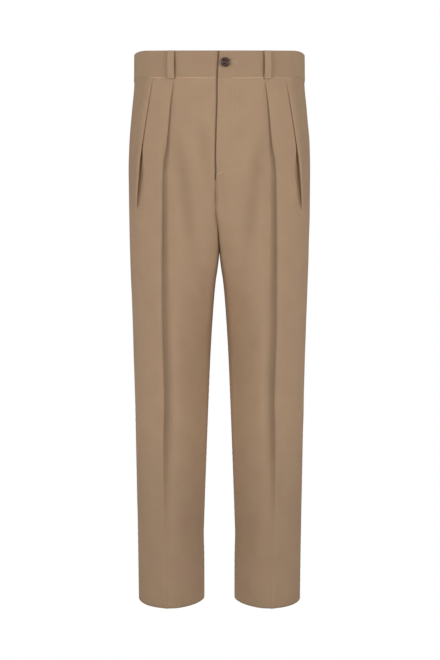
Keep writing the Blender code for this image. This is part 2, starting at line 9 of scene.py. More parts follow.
import functools
from math import asin, cos, expm1, hypot, pi, radians, sin, sqrt
import bmesh
import bpy
import numpy as np
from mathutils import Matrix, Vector

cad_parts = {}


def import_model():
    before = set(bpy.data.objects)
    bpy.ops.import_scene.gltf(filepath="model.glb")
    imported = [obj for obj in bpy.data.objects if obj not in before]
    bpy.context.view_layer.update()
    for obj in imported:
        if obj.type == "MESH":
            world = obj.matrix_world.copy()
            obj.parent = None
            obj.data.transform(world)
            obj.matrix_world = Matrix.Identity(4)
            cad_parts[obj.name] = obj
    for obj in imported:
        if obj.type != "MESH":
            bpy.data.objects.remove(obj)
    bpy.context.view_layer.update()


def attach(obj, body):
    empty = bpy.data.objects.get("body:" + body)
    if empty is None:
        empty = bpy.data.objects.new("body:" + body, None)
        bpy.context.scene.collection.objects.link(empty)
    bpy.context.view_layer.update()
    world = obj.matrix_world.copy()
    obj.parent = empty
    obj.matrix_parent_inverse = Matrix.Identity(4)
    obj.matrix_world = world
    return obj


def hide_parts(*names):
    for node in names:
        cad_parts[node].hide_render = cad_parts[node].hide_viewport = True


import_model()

# ---- driving sizes
MM = 0.001
HALVES = {"left": 1, "right": -1}
CLOTH = 0.0009                 # twill
BAND_CLOTH = 0.0024            # waistband: two plies of twill over canvas
SEAM_GAP = 0.0003
WALL = 0.0012                  # wall of the solids, which sets how far apart the legs start
BAND_TOP = 0.0218
BAND_BOTTOM = -0.025
BAND_FOOT = BAND_BOTTOM + 0.0002
HEM = -1.0305
HEM_DEPTH = 0.038              # turned up inside
WAIST_TILT = 0.085             # the waist is lower in front: rise in z for each metre towards the back
SIDE_DIP, DIP_REACH = 0.0085, 0.072              # and it dips at the side seams
TILT_FADE = (-0.05, -0.22)     # heights between which that slope and that dip die out

CROTCH_TOP = -0.255
CROTCH = -0.305
CROTCH_Y = 0.005
RISE_POWER = 2.2
CLEFT_DEPTH = 0.025
ROUND_CENTRE, ROUND_LOBE, ROUND_FRONT = 0.42, 0.62, 0.55

FLY_END = -0.208
FLY_UNDERLAP = 0.014
BAND_UNDERLAP = 0.036
LAP_DEPTH = 0.0042             # from the left front down to the right one underneath
LAP_SLOPE = 0.005              # and the width of the cloth that goes down there
TOUCH = 0.00005                # how far the cloth of each leg is pressed in where the thighs meet
BUTTON_X, BUTTON_Z = 0.0105, 0.0012
BUTTON_DIAMETER = 0.017
BUTTONHOLE_LENGTH = 0.02
BAND_SEAM_X = 0.1167

LOOP_WIDTH = 0.012
LOOP_CLOTH = 0.0016
LOOP_FOOT = BAND_BOTTOM - 0.002
LOOP_HEAD = BAND_TOP - 0.0006
FRONT_LOOP_X = 0.0855
BACK_LOOP_X = 0.088

ROLL = 0.0004                  # radius with which the cloth turns in at a seam
FLANGE = 0.003                 # how far it goes in there
DRIFT_REACH = 0.06
BACK_CREASE_REACH = 0.022
DRAPE_FADE = 0.014             # the soft folds die out this far from a seam
ARC_STEPS = 150
NORMAL_STEP = 0.0015

# ---- tables read at any height: in millimetres, degrees (deg) and hundredths (%)
UNITS = {"": MM, "deg": radians(1), "%": 0.01}


def monotone_slopes(keys, values):
    """Slopes of a curve through the values that never overshoots them."""
    steps = [(b - a) / (q - p) for a, b, p, q in zip(values, values[1:], keys, keys[1:])]
    inner = [0.0 if a * b <= 0 else 2 * a * b / (a + b) for a, b in zip(steps, steps[1:])]
    return steps[:1] + inner + steps[-1:]


class Track:
    """One column of a table as a smooth function of height."""

    def __init__(self, keys, values):
        self.keys, self.values, self.slopes = keys, values, monotone_slopes(keys, values)

    def __call__(self, z):
        z = min(max(z, self.keys[0]), self.keys[-1])
        i = max(k for k, key in enumerate(self.keys[:-1]) if key <= z)
        span = self.keys[i + 1] - self.keys[i]
        t = (z - self.keys[i]) / span
        return ((1 + 2 * t) * (1 - t) ** 2 * self.values[i] + t * (1 - t) ** 2 * span * self.slopes[i]
                + t * t * (3 - 2 * t) * self.values[i + 1] + t * t * (t - 1) * span * self.slopes[i + 1])


def tracks(columns, rows):
    """A table's columns as functions of its first one, z. A name has its unit after it, or else mm."""
    columns = [column.partition(":") for column in columns.split()]
    units = [UNITS[unit] for _, _, unit in columns]
    keys, *values = zip(*sorted([v * unit for v, unit in zip(row, units)] for row in rows))
    return {name: Track(keys, column) for (name, _, _), column in zip(columns[1:], values)}


SECTION = tracks(
    "z side_x side_y front_x front_y front_turn:deg back_x back_y back_turn:deg round_out:%", (
    (25, 158.4, 0, 82, -97.5, 17, 80, 100, 16, 60),
    (-25, 159, 0, 83, -100, 17, 81, 107, 16, 60),
    (-85, 164.2, 1, 88, -108.5, 15, 84, 121, 14, 60),
    (-150, 169.5, 3, 93, -115, 12, 87, 134, 10, 60),
    (-210, 171.2, 5, 96, -118, 7, 89, 141, 6, 60),
    (-260, 171, 6, 97, -119, 3, 90, 139, 3, 60),
    (-305, 170.5, 6, 97, -118, 1, 90, 131, 1, 59),
    (-352, 169.7, 5, 97, -115.5, 0, 90, 122, 0, 58),
    (-453, 166.9, 4, 97, -108, 0, 91, 110, 0, 57),
    (-545, 164.4, 4, 96, -99, 0, 92, 101, 0, 56),
    (-639, 162.6, 3, 95.5, -89, 0, 93, 92, 0, 56),
    (-717, 161.4, 2, 95, -81.5, 0, 93.5, 87, 0, 55),
    (-796, 160.3, 1, 94.5, -76, 0, 94, 83, 0, 55),
    (-900, 159, 0, 94, -70.5, 0, 94, 77, 0, 55),
    (-1031, 158, 0, 94, -67, 0, 94, 72, 0, 55),
))
CENTRE = tracks("z front_y back_y cleft:deg", (
    (25, -109.5, 109, 0), (-25, -112.5, 117, 0), (-85, -120, 130, 0), (-150, -124, 141, 0),
    (-210, -122.5, 145, 0), (-235, -120, 143, 0), (-255, -116.5, 137, 10), (-280, -108.5, 125, 42),
    (-305, -96, 108, 72), (-335, -78, 85, 87), (-365, -58, 63, 90), (-407, -34, 39, 90),
    (-453, -16, 21, 90), (-545, 3, 7, 90),
))
INSEAM_X = tracks("z x", (
    (-305, 0), (-348, 0), (-365, 1.3), (-382, 3.4), (-407, 7), (-453, 11.1), (-545, 16.9), (-639, 21),
    (-717, 24), (-796, 27), (-876, 29.8), (-903, 30.6), (-955, 29.6), (-1031, 29.5),
))["x"]
CENTRE_DRIFT = tracks("z x", (
    (25, 0.5), (5, -1), (-25, -2.8), (-60, -3.1), (-122, -4.9), (-180, -5.8), (-198, -5.2),
    (-232, -6.9), (-260, -6.8), (-285, -5.6), (-302, -3), (-343, 0),
))["x"]
# Pleats: x of the fold edge, depth folded under, lift of the edge, sink of the cloth beside it, the
# lengths over which the cloth comes back to the outline before and after the fold, the pitch of the
# folded layers, the shoulder from which the cloth dives under, and the width of the crease's slope.
# folded is 100 for a folded pleat, 0 for the one slope of a pressed crease.
PLEAT_COLUMNS = "z x tuck lift sink lead_in lead_out folded:% pitch shoulder foot"
INNER_PLEAT = tracks(PLEAT_COLUMNS, (
    (-25, 81.5, 20, 0, -0.9, 1, 6, 100, 0.4, 0.7, 3),
    (-34.5, 83.7, 19.5, 0, -0.9, 1, 6, 100, 0.4, 0.7, 3),
    (-40, 84.7, 19, 0.5, -1.4, 5, 7, 100, 1, 1, 3),
    (-50, 86.2, 17.5, 1.2, -1.8, 9, 9, 100, 1.4, 1.2, 3.5),
    (-73, 89.2, 15, 2, -2, 12, 12, 100, 1.6, 1.4, 4.5),
    (-111, 92.5, 10.5, 2.6, -2.2, 13, 16, 100, 1.8, 1.8, 5.5),
    (-154, 96.2, 3.5, 3.5, -2.8, 16, 20, 100, 2, 3.6, 6.4),
    (-186, 100.1, 0, 4, -4, 24, 22, 50, 2, 5, 7),
    (-222, 101.8, 0, 4.2, -4.4, 26, 24, 0, 2, 5, 7.4),
    (-473, 104.5, 0, 4.2, -4.4, 24, 26, 0, 2, 5, 7.6),
    (-623, 102.2, 0, 4, -4.2, 22, 26, 0, 2, 5, 7.6),
    (-700, 104, 0, 3.8, -3.8, 20, 22, 0, 2, 5, 7.4),
    (-780, 104.6, 0, 3.2, -2.8, 19, 19, 0, 2, 5, 7),
    (-850, 104.6, 0, 2.2, -1.4, 18, 16, 0, 2, 5, 6),
    (-923, 104.2, 0, 1.8, -0.3, 18, 14, 0, 2, 5, 5),
    (-980, 102.8, 0, 1.8, 0, 17, 13, 0, 2, 5, 5),
    (-1031, 99.8, 0, 1.8, 0, 16, 13, 0, 2, 5, 5),
))
OUTER_PLEAT = tracks(PLEAT_COLUMNS, (
    (-25, 119.2, 15, 0, -0.9, 1, 6, 100, 0.4, 0.7, 3),
    (-35.5, 122.2, 15, 0, -0.9, 1, 7, 100, 0.4, 0.7, 3),
    (-42, 123.6, 14.8, 0.5, -2.2, 2, 8, 100, 1.3, 0.8, 3),
    (-55, 126.3, 14.2, 1, -2.8, 2.4, 10, 100, 1.7, 0.8, 3),
    (-81, 130.6, 12.5, 1.3, -3.4, 2.8, 12, 100, 2, 0.8, 3),
    (-125, 137.1, 9, 1.6, -3.6, 3, 14, 100, 2.2, 0.8, 3),
    (-160, 142, 6, 2.2, -3.6, 4, 15, 100, 2.4, 1.2, 3),
    (-182, 144, 4, 3.4, -4.6, 9, 15, 100, 2.4, 2.2, 3),
    (-208, 145.2, 2, 4.5, -5.4, 14, 15, 100, 2.4, 2.4, 3),
    (-235, 147.4, 0.6, 4, -5, 14, 15, 100, 2.2, 2.2, 3),
    (-255, 149, 0, 3, -3.6, 14, 15, 60, 2, 2, 3.4),
    (-275, 150.5, 0, 1.2, -1.2, 13, 15, 0, 2, 2, 5),
    (-294, 152.2, 0, 0, 0, 12, 15, 0, 1.7, 2, 12),
    (-400, 148, 0, 0, 0, 10, 20, 0, 1.7, 2, 16),
    (-1031, 142, 0, 0, 0, 5, 20, 0, 1.7, 2, 14),
))
BACK_CREASE_LIFT = tracks("z lift", (
    (-300, 0), (-400, 2.2), (-560, 3.4), (-860, 3.6), (-1031, 3.2),
))["lift"]
# The centre front seam lies in a shallow valley.
CENTRE_VALLEY = tracks("z depth", (
    (FLY_END / MM, 0), (-220, 1.2), (-240, 2), (-256, 2.2), (-272, 0),
))["depth"]
VALLEY_REACH = 0.0036
# Painted shade and painted highlights: how much darker or lighter the cloth's colour is made. Painted
# shade beside its crease over a width, a painted highlight on the crease's edge, a painted highlight
# beyond the outer pleat's edge, painted shade by the centre seam, painted light beside the inseam where
# the legs shade each other, and painted shade all round on the lower legs, where less light falls.
TONE = tracks("z dark:% width light:% outer:% seam:% inner:% all:%", (
    (-25, 0, 4, 0, 0, 0, 0, 0),
    (-60, 2, 4, 2, 2, 0, 0, 0),
    (-120, 4, 5, 3, 3, 0, 0, 0),
    (-154, 20, 7, 5, 4, 0, 0, 0),
    (-175, 36, 8, 5, 6, 0, 0, 0),
    (-212, 42, 9, 5, 5, 8, 0, 0),
    (-240, 43, 10, 4, 2, 18, 0, 0),
    (-300, 43, 12, 4, 0, 20, 0, 0),
    (-345, 42, 13, 3, 0, 8, 2, 0),
    (-370, 40, 14, 3, 0, 0, 8, 0),
    (-440, 34, 18, 3, 0, 0, 17, 0),
    (-640, 35, 20, 3, 0, 0, 22, 0),
    (-700, 30, 18, 2, 0, 0, 20, -3),
    (-785, 14, 14, 3, 0, 0, 16, -10),
    (-860, 2, 13, 3, 0, 0, 12, -14),
    (-930, 0, 13, 4, 0, 0, 8, -14),
    (-980, 0, 13, 6, 0, 0, 6, -15),
    (-1031, 0, 13, 6, 0, 0, 6, -18),
))
INNER_REACH = 0.034
# painted shade on the flank beyond the outer pleat
FLANK_TONE = 0.11              # beyond the outer pleat, down to where it runs out
SEAM_SHADE_WIDTH = 0.0042
HEM_TONE = 0.14                # darker along the hem's bottom edge
HOLLOW_TONE = 34.0             # painted shade: darker for each metre of a soft fold's depth, painted light where it stands out
# painted highlight along the back crease's ridge, for each metre of its lift
BACK_CREASE_TONE = 18.0
# painted highlight: a light line along the waist seam, between these distances from the centre
WELT_TONE, WELT_TO = 0.24, 0.1285
WELT_FROM = {"left": 0.0235, "right": 0.006}
# Soft folds: z and x of their top and of their bottom, half width, and depth (in is minus).
FRONT_FOLDS = {
    "left": (
        (-60, 89, -430, 35, 12, -4.4),
        (-170, 4, -300, 17, 9, -1.4),
        (-360, 50, -700, 56, 20, -1.4),
        (-820, 45, -960, 60, 18, -1.6),
        (-220, 14, -290, 18, 4, -0.6),
        (-780, 62, -950, 38, 10, 0.8),
        (-120, 56, -240, 45, 7, 0.5),
        (-880, 118, -1000, 126, 8, -0.6),
    ),
    "right": (
        (-60, 87, -430, 35, 12, -4.4),
        (-60, 37, -280, 6, 11, -2.6),
        (-380, 52, -720, 54, 20, -1.2),
        (-800, 48, -950, 62, 18, -1.8),
        (-130, 60, -260, 52, 6, 0.5),
        (-790, 66, -960, 36, 11, 0.9),
        (-870, 120, -990, 124, 9, -0.6),
    ),
}
BACK_FOLDS = {
    "left": (
        (-200, 55, -420, 85, 20, -3),
        (-270, 35, -520, 56, 18, -2.6),
        (-560, 60, -760, 72, 22, -1.8),
        (-250, 12, -330, 62, 7, 1.6),
        (-285, 14, -350, 70, 6, -1.2),
        (-520, 40, -575, 115, 8, -1.4),
        (-560, 125, -620, 50, 9, 1.4),
        (-610, 45, -670, 108, 8, -1.1),
    ),
    "right": (
        (-210, 60, -400, 90, 18, -2.8),
        (-280, 32, -540, 58, 19, -2.8),
        (-580, 58, -780, 70, 22, -1.6),
        (-245, 13, -340, 58, 7, 1.5),
        (-290, 15, -345, 76, 6, -1.3),
        (-530, 118, -590, 42, 8, -1.4),
        (-575, 45, -640, 120, 9, 1.3),
        (-630, 112, -680, 48, 7, -1),
    ),
}
BACK_DART_X, BACK_DART_END = 0.072, -0.115      # one seam dart in each back


# ---- the form
def smooth(t):
    t = np.clip(t, 0.0, 1.0)
    return t * t * (3 - 2 * t)


def bell(offset, reach):
    """1 at no offset, dying out over about the reach on both sides."""
    return np.exp(-(offset / reach) ** 2)


def bezier(start, leave, arrive, end):
    """Points of one cubic arc, from its two ends and its two handles."""
    t = np.linspace(0, 1, ARC_STEPS)[:, None]
    a, b, c, d = (np.array([point]) for point in (start, leave, arrive, end))
    return (1 - t) ** 3 * a + 3 * t * (1 - t) ** 2 * b + 3 * t * t * (1 - t) * c + t ** 3 * d


def rise_start(z, face):
    """Where a half's outline starts: on the centre seam, or on the inseam below the crotch."""
    wall = SEAM_GAP / 2 + (CLOTH / 2 - TOUCH - SEAM_GAP / 2) * smooth((CROTCH_TOP - z) / CLEFT_DEPTH)
    centre = CENTRE[face + "_y"]
    if z >= CROTCH_TOP:
        return wall, centre(z)
    if z <= CROTCH:
        return wall + INSEAM_X(z), CROTCH_Y
    t = (CROTCH_TOP - z) / (CROTCH_TOP - CROTCH)
    depth = (1 - t ** RISE_POWER) ** (1 / RISE_POWER)
    return wall, CROTCH_Y + (centre(CROTCH_TOP) - CROTCH_Y) * depth


class Outline:
    """Half a section at one height, front or back, measured by the length s from the centre."""

    def __init__(self, z, face):
        self.sign = sign = -1 if face == "front" else 1
        self.reach_back = NORMAL_STEP * (1 - smooth((CROTCH_TOP + 0.004 - z) / 0.012))
        x0, y_start = rise_start(z, face)
        y0 = CENTRE[face + "_y"](z)
        x1, y1 = SECTION[face + "_x"](z), SECTION[face + "_y"](z)
        x2, y2 = SECTION["side_x"](z) - WALL / 2, SECTION["side_y"](z)
        turn, cleft = SECTION[face + "_turn"](z), CENTRE["cleft"](z)
        level = (cos(turn), -sign * sin(turn))
        leave, arrive = ROUND_CENTRE * (x1 - x0), ROUND_FRONT * (x1 - x0)
        if cleft > 0:
            leave = min(leave, ROUND_LOBE * max(sign * (y1 - y0), 0.0) / sin(cleft))
        first = bezier((x0, y0), (x0 + leave * cos(cleft), y0 + sign * leave * sin(cleft)),
                       (x1 - level[0] * arrive, y1 - level[1] * arrive), (x1, y1))
        round_out = SECTION["round_out"](z)
        reach_x, reach_y = round_out * (x2 - x1), round_out * abs(y2 - y1)
        second = bezier((x1, y1), (x1 + level[0] * reach_x, y1 + level[1] * reach_x),
                        (x2, y2 + sign * reach_y), (x2, y2))
        self.contact = abs(y_start - y0)
        flank = np.linspace((x0, y_start), (x0, y0), 9)[:-1 if self.contact > 0.00001 else 0]
        self.points = np.vstack([flank, first, second[1:]])
        self.lengths = path_lengths(self.points)
        self.total = self.lengths[-1]

    def length_at(self, x):
        """The length at which the outline, still going outwards, has reached x."""
        return float(np.interp(x, self.points[:, 0], self.lengths))

    def place(self, s):
        """The plain x and y at lengths s, on the other half where s is below 0."""
        x, y = (np.interp(np.abs(s), self.lengths, values) for values in self.points.T)
        return np.where(s < 0, -x, x), y

    def point(self, s, out):
        """The x and y at lengths s, moved out of the garment by out."""
        s = np.asarray(s, float)
        low = np.maximum(s - NORMAL_STEP, np.where(s < 0, -self.total, -self.reach_back))
        (x0, y0), (x1, y1) = self.place(low), self.place(np.minimum(s + NORMAL_STEP, self.total))
        length = np.hypot(x1 - x0, y1 - y0)
        x, y = self.place(s)
        return x - self.sign * out * (y1 - y0) / length, y + self.sign * out * (x1 - x0) / length


def path_lengths(path):
    """Lengths along a path, from its start to each of its points."""
    return np.concatenate([[0.0], np.cumsum(np.linalg.norm(np.diff(path, axis=0), axis=1))])


outline = functools.cache(Outline)


def world(xy, z, half):
    """Points of one half in the frame: mirrored, drifted at the centre front and tilted."""
    x, y = xy
    x = x * HALVES[half]
    q = np.minimum(np.abs(x) / DRIFT_REACH, 1.0)
    in_front = 1 - smooth((y + 0.03) / 0.06)
    drift = np.vectorize(CENTRE_DRIFT)(z) * (1 - q * q) ** 2 * in_front
    fade = 1 - smooth((TILT_FADE[0] - z) / (TILT_FADE[0] - TILT_FADE[1]))
    dip = SIDE_DIP * smooth(1 - np.abs(y) / DIP_REACH)
    return np.stack([x + drift, y, z + (WAIST_TILT * y - dip) * fade], axis=-1)


def unit(v):
    v = np.asarray(v, float)
    return v / np.linalg.norm(v)


def on_cloth(line, half, s, z, out):
    """A point at a height out of an outline, with the way out of the cloth there."""
    here = world(line.point(s, out), z, half)
    return here, unit(here - world(line.point(s, out - 0.002), z, half))


# ---- relief
def folds(table, x, z):
    """Depth of the soft folds at points: round across, dying out towards both ends."""
    total = np.zeros_like(x)
    for row in table:
        z_top, x_top, z_bottom, x_bottom, reach, depth = (MM * value for value in row)
        run_x, run_z = x_bottom - x_top, z_bottom - z_top
        length = hypot(run_x, run_z)
        t = ((x - x_top) * run_x + (z - z_top) * run_z) / length ** 2
        off = ((x - x_top) * run_z - (z - z_top) * run_x) / length
        along = np.where((t > 0) & (t < 1), np.sin(pi * t) ** 2, 0.0)
        total += depth * along * bell(off, reach)
    return total


class Ripple:
    """A gentle unevenness of hanging cloth: a few dozen long waves with seeded phases."""

    def __init__(self, seed, height, across=(0.03, 0.11), down=(0.07, 0.3), waves=26):
        draw = np.random.default_rng(seed)
        self.k = 2 * pi / draw.uniform(*across, waves)
        self.m = 2 * pi / draw.uniform(*down, waves) * draw.choice((-1, 1), waves)
        self.phase = draw.uniform(0, 2 * pi, waves)
        self.height = height * sqrt(2 / waves)

    def __call__(self, s, z):
        s = np.asarray(s, float)[..., None]
        return self.height * np.cos(self.k * s + self.m * z + self.phase).sum(-1)


def ripples(seed, *details):
    return {half: Ripple(seed + i, *details) for i, half in enumerate(HALVES)}


class Pucker:
    """Little waves that sewing leaves along a seam, dying out beside it."""

    def __init__(self, seed, height, reach=0.006):
        draw = np.random.default_rng(seed)
        self.k = 2 * pi / draw.uniform(0.006, 0.017, 9)
        self.phase = draw.uniform(0, 2 * pi, 9)
        self.height, self.reach = height * sqrt(2 / 9), reach

    def __call__(self, along, beside):
        waves = np.cos(np.multiply.outer(along, self.k) + self.phase).sum(-1)
        return self.height * waves * bell(beside, self.reach)


def turned_in(edge, radius):
    """How far the cloth has turned in at a distance from its edge: a quarter round."""
    short = radius - np.clip(edge, 0.0, radius)
    return radius - np.sqrt(radius ** 2 - short ** 2)


# ---- rows and columns
def spread(first, last, count, power=1.0):
    """Values inside a span, without its ends, evenly spaced or closer together at its start."""
    return first + (last - first) * (np.arange(1, count + 1) / (count + 1)) ** power


def rounded(points, *counts):
    """A Catmull-Rom curve through control points, with a number of steps for each span."""
    p = np.array(points, float)
    p = np.vstack([2 * p[0] - p[1], p, 2 * p[-1] - p[-2]])
    made = []
    for i, count in enumerate(counts if len(counts) > 1 else counts * (len(points) - 1)):
        t = (np.arange(count) / count)[:, None]
        a, b, c, d = p[i:i + 4]
        made.append(0.5 * (2 * b + (c - a) * t + (2 * a - 5 * b + 4 * c - d) * t ** 2
                           + (3 * b - 3 * c + d - a) * t ** 3))
    return np.vstack([*made, p[-2][None, :]])


# Distances from a seam and how far in the point lies: first the flange that goes in, then the surface.
EDGE = np.array([(0, FLANGE), (0, FLANGE / 2)]
                + [(MM * s, 0) for s in (0, 0.06, 0.2, 0.4, 1.1, 2.5, 4.5, 7.5)])
EDGE_OUT = -turned_in(EDGE[:, 0], ROLL) - EDGE[:, 1]
EDGE_WIDTH = EDGE[-1, 0]
# The panel's top: it goes in under the band, and its first millimetres stand out as a little welt.
TOP_EDGE = np.vstack([EDGE[:2], MM * np.array((
    (0, 0.3), (0.1, -0.3), (0.4, -0.7), (0.9, -0.9), (1.6, -0.8), (2.6, -0.4), (4.5, -0.1), (7.5, 0)))])
WELT, WELT_RISE = 0.0018, 0.0004
# The folded fly edge, from the facing inside out to the front.
FLY_FOLD = MM * np.array(((9, -0.95), (4, -0.95), (0.6, -0.95), (0.2, -0.7), (0.2, -0.25), (0.6, 0),
                          (1.3, 0), (2.5, 0), (4.5, 0), (7.5, 0)))
WAY_STEPS = (4, 3, 2, 3, 3, 3, 2, 2)
LEAD_COLUMNS, TRAIL_COLUMNS, FLANK_COLUMNS, LOBE_COLUMNS = 6, 7, 8, 20
RISE_ROWS = 28                 # rows round the curve of the crotch seam
HEM_ROUND = 0.0006


def pleat_way(pleat, z, line):
    """Lengths and heights of the cloth's way through one pleat, from the inside out.

    The cloth sinks towards the fold, runs under it, turns back to the edge, turns again and goes on
    over itself. Where the pleat has run out the same points make the one slope of a crease.
    """
    x, tuck, lift, sink, lead_in, lead_out, folded, pitch, shoulder, foot = (
        column(z) for column in pleat.values())
    turn = 0.6 * pitch
    fall = 0.25 * lift * smooth(tuck / 0.004)        # the top layer already settles over the tuck
    middle, bottom = lift - pitch, lift - 2 * pitch - fall
    under = [(tuck, bottom), (tuck + turn, bottom + 0.25 * pitch), (tuck + turn, bottom + 0.75 * pitch)]
    over = [(0.0, middle), (-turn, middle + 0.25 * pitch), (-turn, middle + 0.75 * pitch), (0.0, lift)]
    fold = rounded([(-shoulder, sink), *under, (tuck, middle - fall), *over], *WAY_STEPS)
    t = np.linspace(0, 1, len(fold))
    steepness = 0.8
    rise = np.expm1(steepness * t) / expm1(steepness)
    slope = np.stack([-foot * (1 - t), sink + (lift - sink) * rise], axis=1)
    way = folded * fold + (1 - folded) * slope
    first, last, rest = way[0, 0], tuck + 2 * turn * folded, lift - fall
    t = np.arange(LEAD_COLUMNS) / LEAD_COLUMNS
    before = np.stack([first - lead_in * (1 - t), sink * smooth(t)], axis=1)
    t = np.arange(1, TRAIL_COLUMNS + 1) / TRAIL_COLUMNS
    after = np.stack([last + lead_out * t, rest * (1 - t) ** 2 * (1 + 0.8 * t)], axis=1)
    run, out = np.vstack([before, way, after]).T
    return line.length_at(x) + run, out


def panel_rows():
    """Heights of the rows of a panel, and how far in each lies: waist seam, leg, turned-up hem."""
    top = BAND_FOOT - CLOTH / 2 + WELT_RISE
    rows = [(top - edge, inward) for edge, inward in TOP_EDGE]
    rows += [(z, 0.0) for z in spread(top - EDGE_WIDTH, CROTCH_TOP, 72)]
    for t in np.arange(RISE_ROWS + 1) / RISE_ROWS:
        rows.append((CROTCH_TOP + (CROTCH - CROTCH_TOP) * (t + sin(pi / 2 * t)) / 2, 0.0))
    rows += [(z, 0.0) for z in spread(CROTCH, HEM + 0.006, 150)]
    rows += [(HEM + up, 0.0) for up in (0.0055, 0.0035, 0.002, 0.001)]
    for angle in pi * np.arange(5) / 4:
        rows.append((HEM + HEM_ROUND * (1 - sin(angle)), HEM_ROUND * (1 - cos(angle))))
    return rows + [(HEM + up, 2 * HEM_ROUND) for up in (0.001, 0.005, 0.013, 0.021, 0.029, HEM_DEPTH)]


ROWS = panel_rows()

# ---- fronts and backs
FLY_STITCH = 0.0262            # from the fly edge to the stitching of its facing
FLY_TURN = -0.183              # where that stitching starts to curve in
FLY_CURVE = 0.024
FLY_ROWS_APART = 0.0057        # its two rows
FRONT_RIPPLE, BACK_RIPPLE = ripples(11, 0.00016), ripples(13, 0.00022)
CENTRE_PUCKER, SIDE_PUCKER, INSEAM_PUCKER = Pucker(21, 0.0001), Pucker(22, 0.00012), Pucker(23, 0.00014)
WAIST_PUCKER, FLY_PUCKER = Pucker(24, 0.0001), Pucker(25, 0.00011, 0.004)
NEAR_RIDGE = np.array((1.0, 0.75, 0.5, 0.3, 0.17, 0.08, 0.03))


def under_lap(s):
    """1 where the right side lies under the left one, 0 beyond the slope that comes out of it."""
    return smooth((LAP_SLOPE + 0.0005 - s) / LAP_SLOPE)


def below_rise(z):
    """0 where the halves are sewn together, 1 at the inseam."""
    return float(smooth((CROTCH_TOP - z) / (CROTCH_TOP - CROTCH)))


def start_edge(z):
    """Lengths and heights of a panel's first columns, along its centre seam or inseam."""
    return CLOTH / 2 + SEAM_GAP / 2 * below_rise(z) + EDGE[:, 0], EDGE_OUT


def front_edge(half, z, sunk):
    """Lengths and heights of a front's first columns: fly edge, underlap, or seam."""
    fly = float(smooth((z - (FLY_END - 0.006)) / 0.006))
    s, out = start_edge(z)
    if half == "right":
        under = np.linspace(-FLY_UNDERLAP, EDGE_WIDTH, len(s))
        return s + fly * (under - s), out * (1 - fly)
    if sunk > ROLL:
        return s, out
    return s + fly * (FLY_FOLD[:, 0] - s), out + fly * (FLY_FOLD[:, 1] - out)


def side_stop(line):
    return line.total - SEAM_GAP / 2 - CLOTH / 2


def panel_row(z, line, start, *forms):
    """A row's lengths and heights: its start, then pleats or a ridge, each with plain columns after it."""
    edge, side = start[0][-1], side_stop(line) - EDGE[::-1, 0]
    bend = max(line.contact, edge + 0.004)            # down the side of the cleft, then over the lobe
    lobe = spread(bend, forms[0][0][0], LOBE_COLUMNS, 1.0 + 0.35 * smooth((CROTCH_TOP - z) / 0.05))
    parts = [start, (spread(edge, bend, FLANK_COLUMNS), 0), ([bend], 0), (lobe, 0)]
    for (s, out, plain), after in zip(forms, [form[0] for form in forms[1:]] + [side]):
        parts += [(s, out), (spread(s[-1], after[0], plain), 0)]
    parts.append((side, EDGE_OUT[::-1]))
    return [np.concatenate(values) for values in zip(*((s, out + np.zeros(len(s))) for s, out in parts))]


def drape(s, z, line, soft):
    """Soft folds that die out at the seams, with the little waves along the seams and the waist."""
    low, inner, outer = below_rise(z), np.abs(s), side_stop(line) - s
    seams = (CENTRE_PUCKER(z, inner) * (1 - low) + INSEAM_PUCKER(z, inner) * low
             + SIDE_PUCKER(z, outer) + WAIST_PUCKER(s, BAND_BOTTOM - z))
    from_seam = np.minimum(np.maximum(inner - line.contact, 0.0), line.total - s)
    return soft * smooth(from_seam / DRAPE_FADE) + seams * smooth(np.minimum(inner, outer) / 0.001)


# Painted shade in the hollows of soft folds and painted light on their crests, painted shade on the lower
# legs where less light falls, and darker along the hem's bottom edge.
def shade_and_hem_tone(z, soft):
    return HOLLOW_TONE * soft + TONE["all"](z) - HEM_TONE * smooth((HEM + 0.004 - z) / 0.0015)


def front_row(half, z, sunk):
    """One row of a front: its outline, lengths, heights and tones."""
    line = outline(z, "front")
    pleats = [(*pleat_way(pleat, z, line), plain) for pleat, plain in ((INNER_PLEAT, 4), (OUTER_PLEAT, 12))]
    s, out = panel_row(z, line, front_edge(half, z, sunk), *pleats)
    x = np.abs(line.place(s)[0])
    soft = folds(FRONT_FOLDS[half], x, z)
    if half == "right":
        soft = np.where(s < 0, folds(FRONT_FOLDS["left"], x, z), soft)
        lap = smooth((z - (FLY_END - 0.013)) / 0.008)
        out -= LAP_DEPTH * lap * under_lap(s)
    soft = soft + FRONT_RIPPLE[half](line.total - s, z)
    out += drape(s, z, line, soft) - CENTRE_VALLEY(z) * bell(s, VALLEY_REACH)
    if half == "left":
        out += fly_relief(s, z)
    return line, s, out - sunk, front_tone(half, z, s, line, soft)


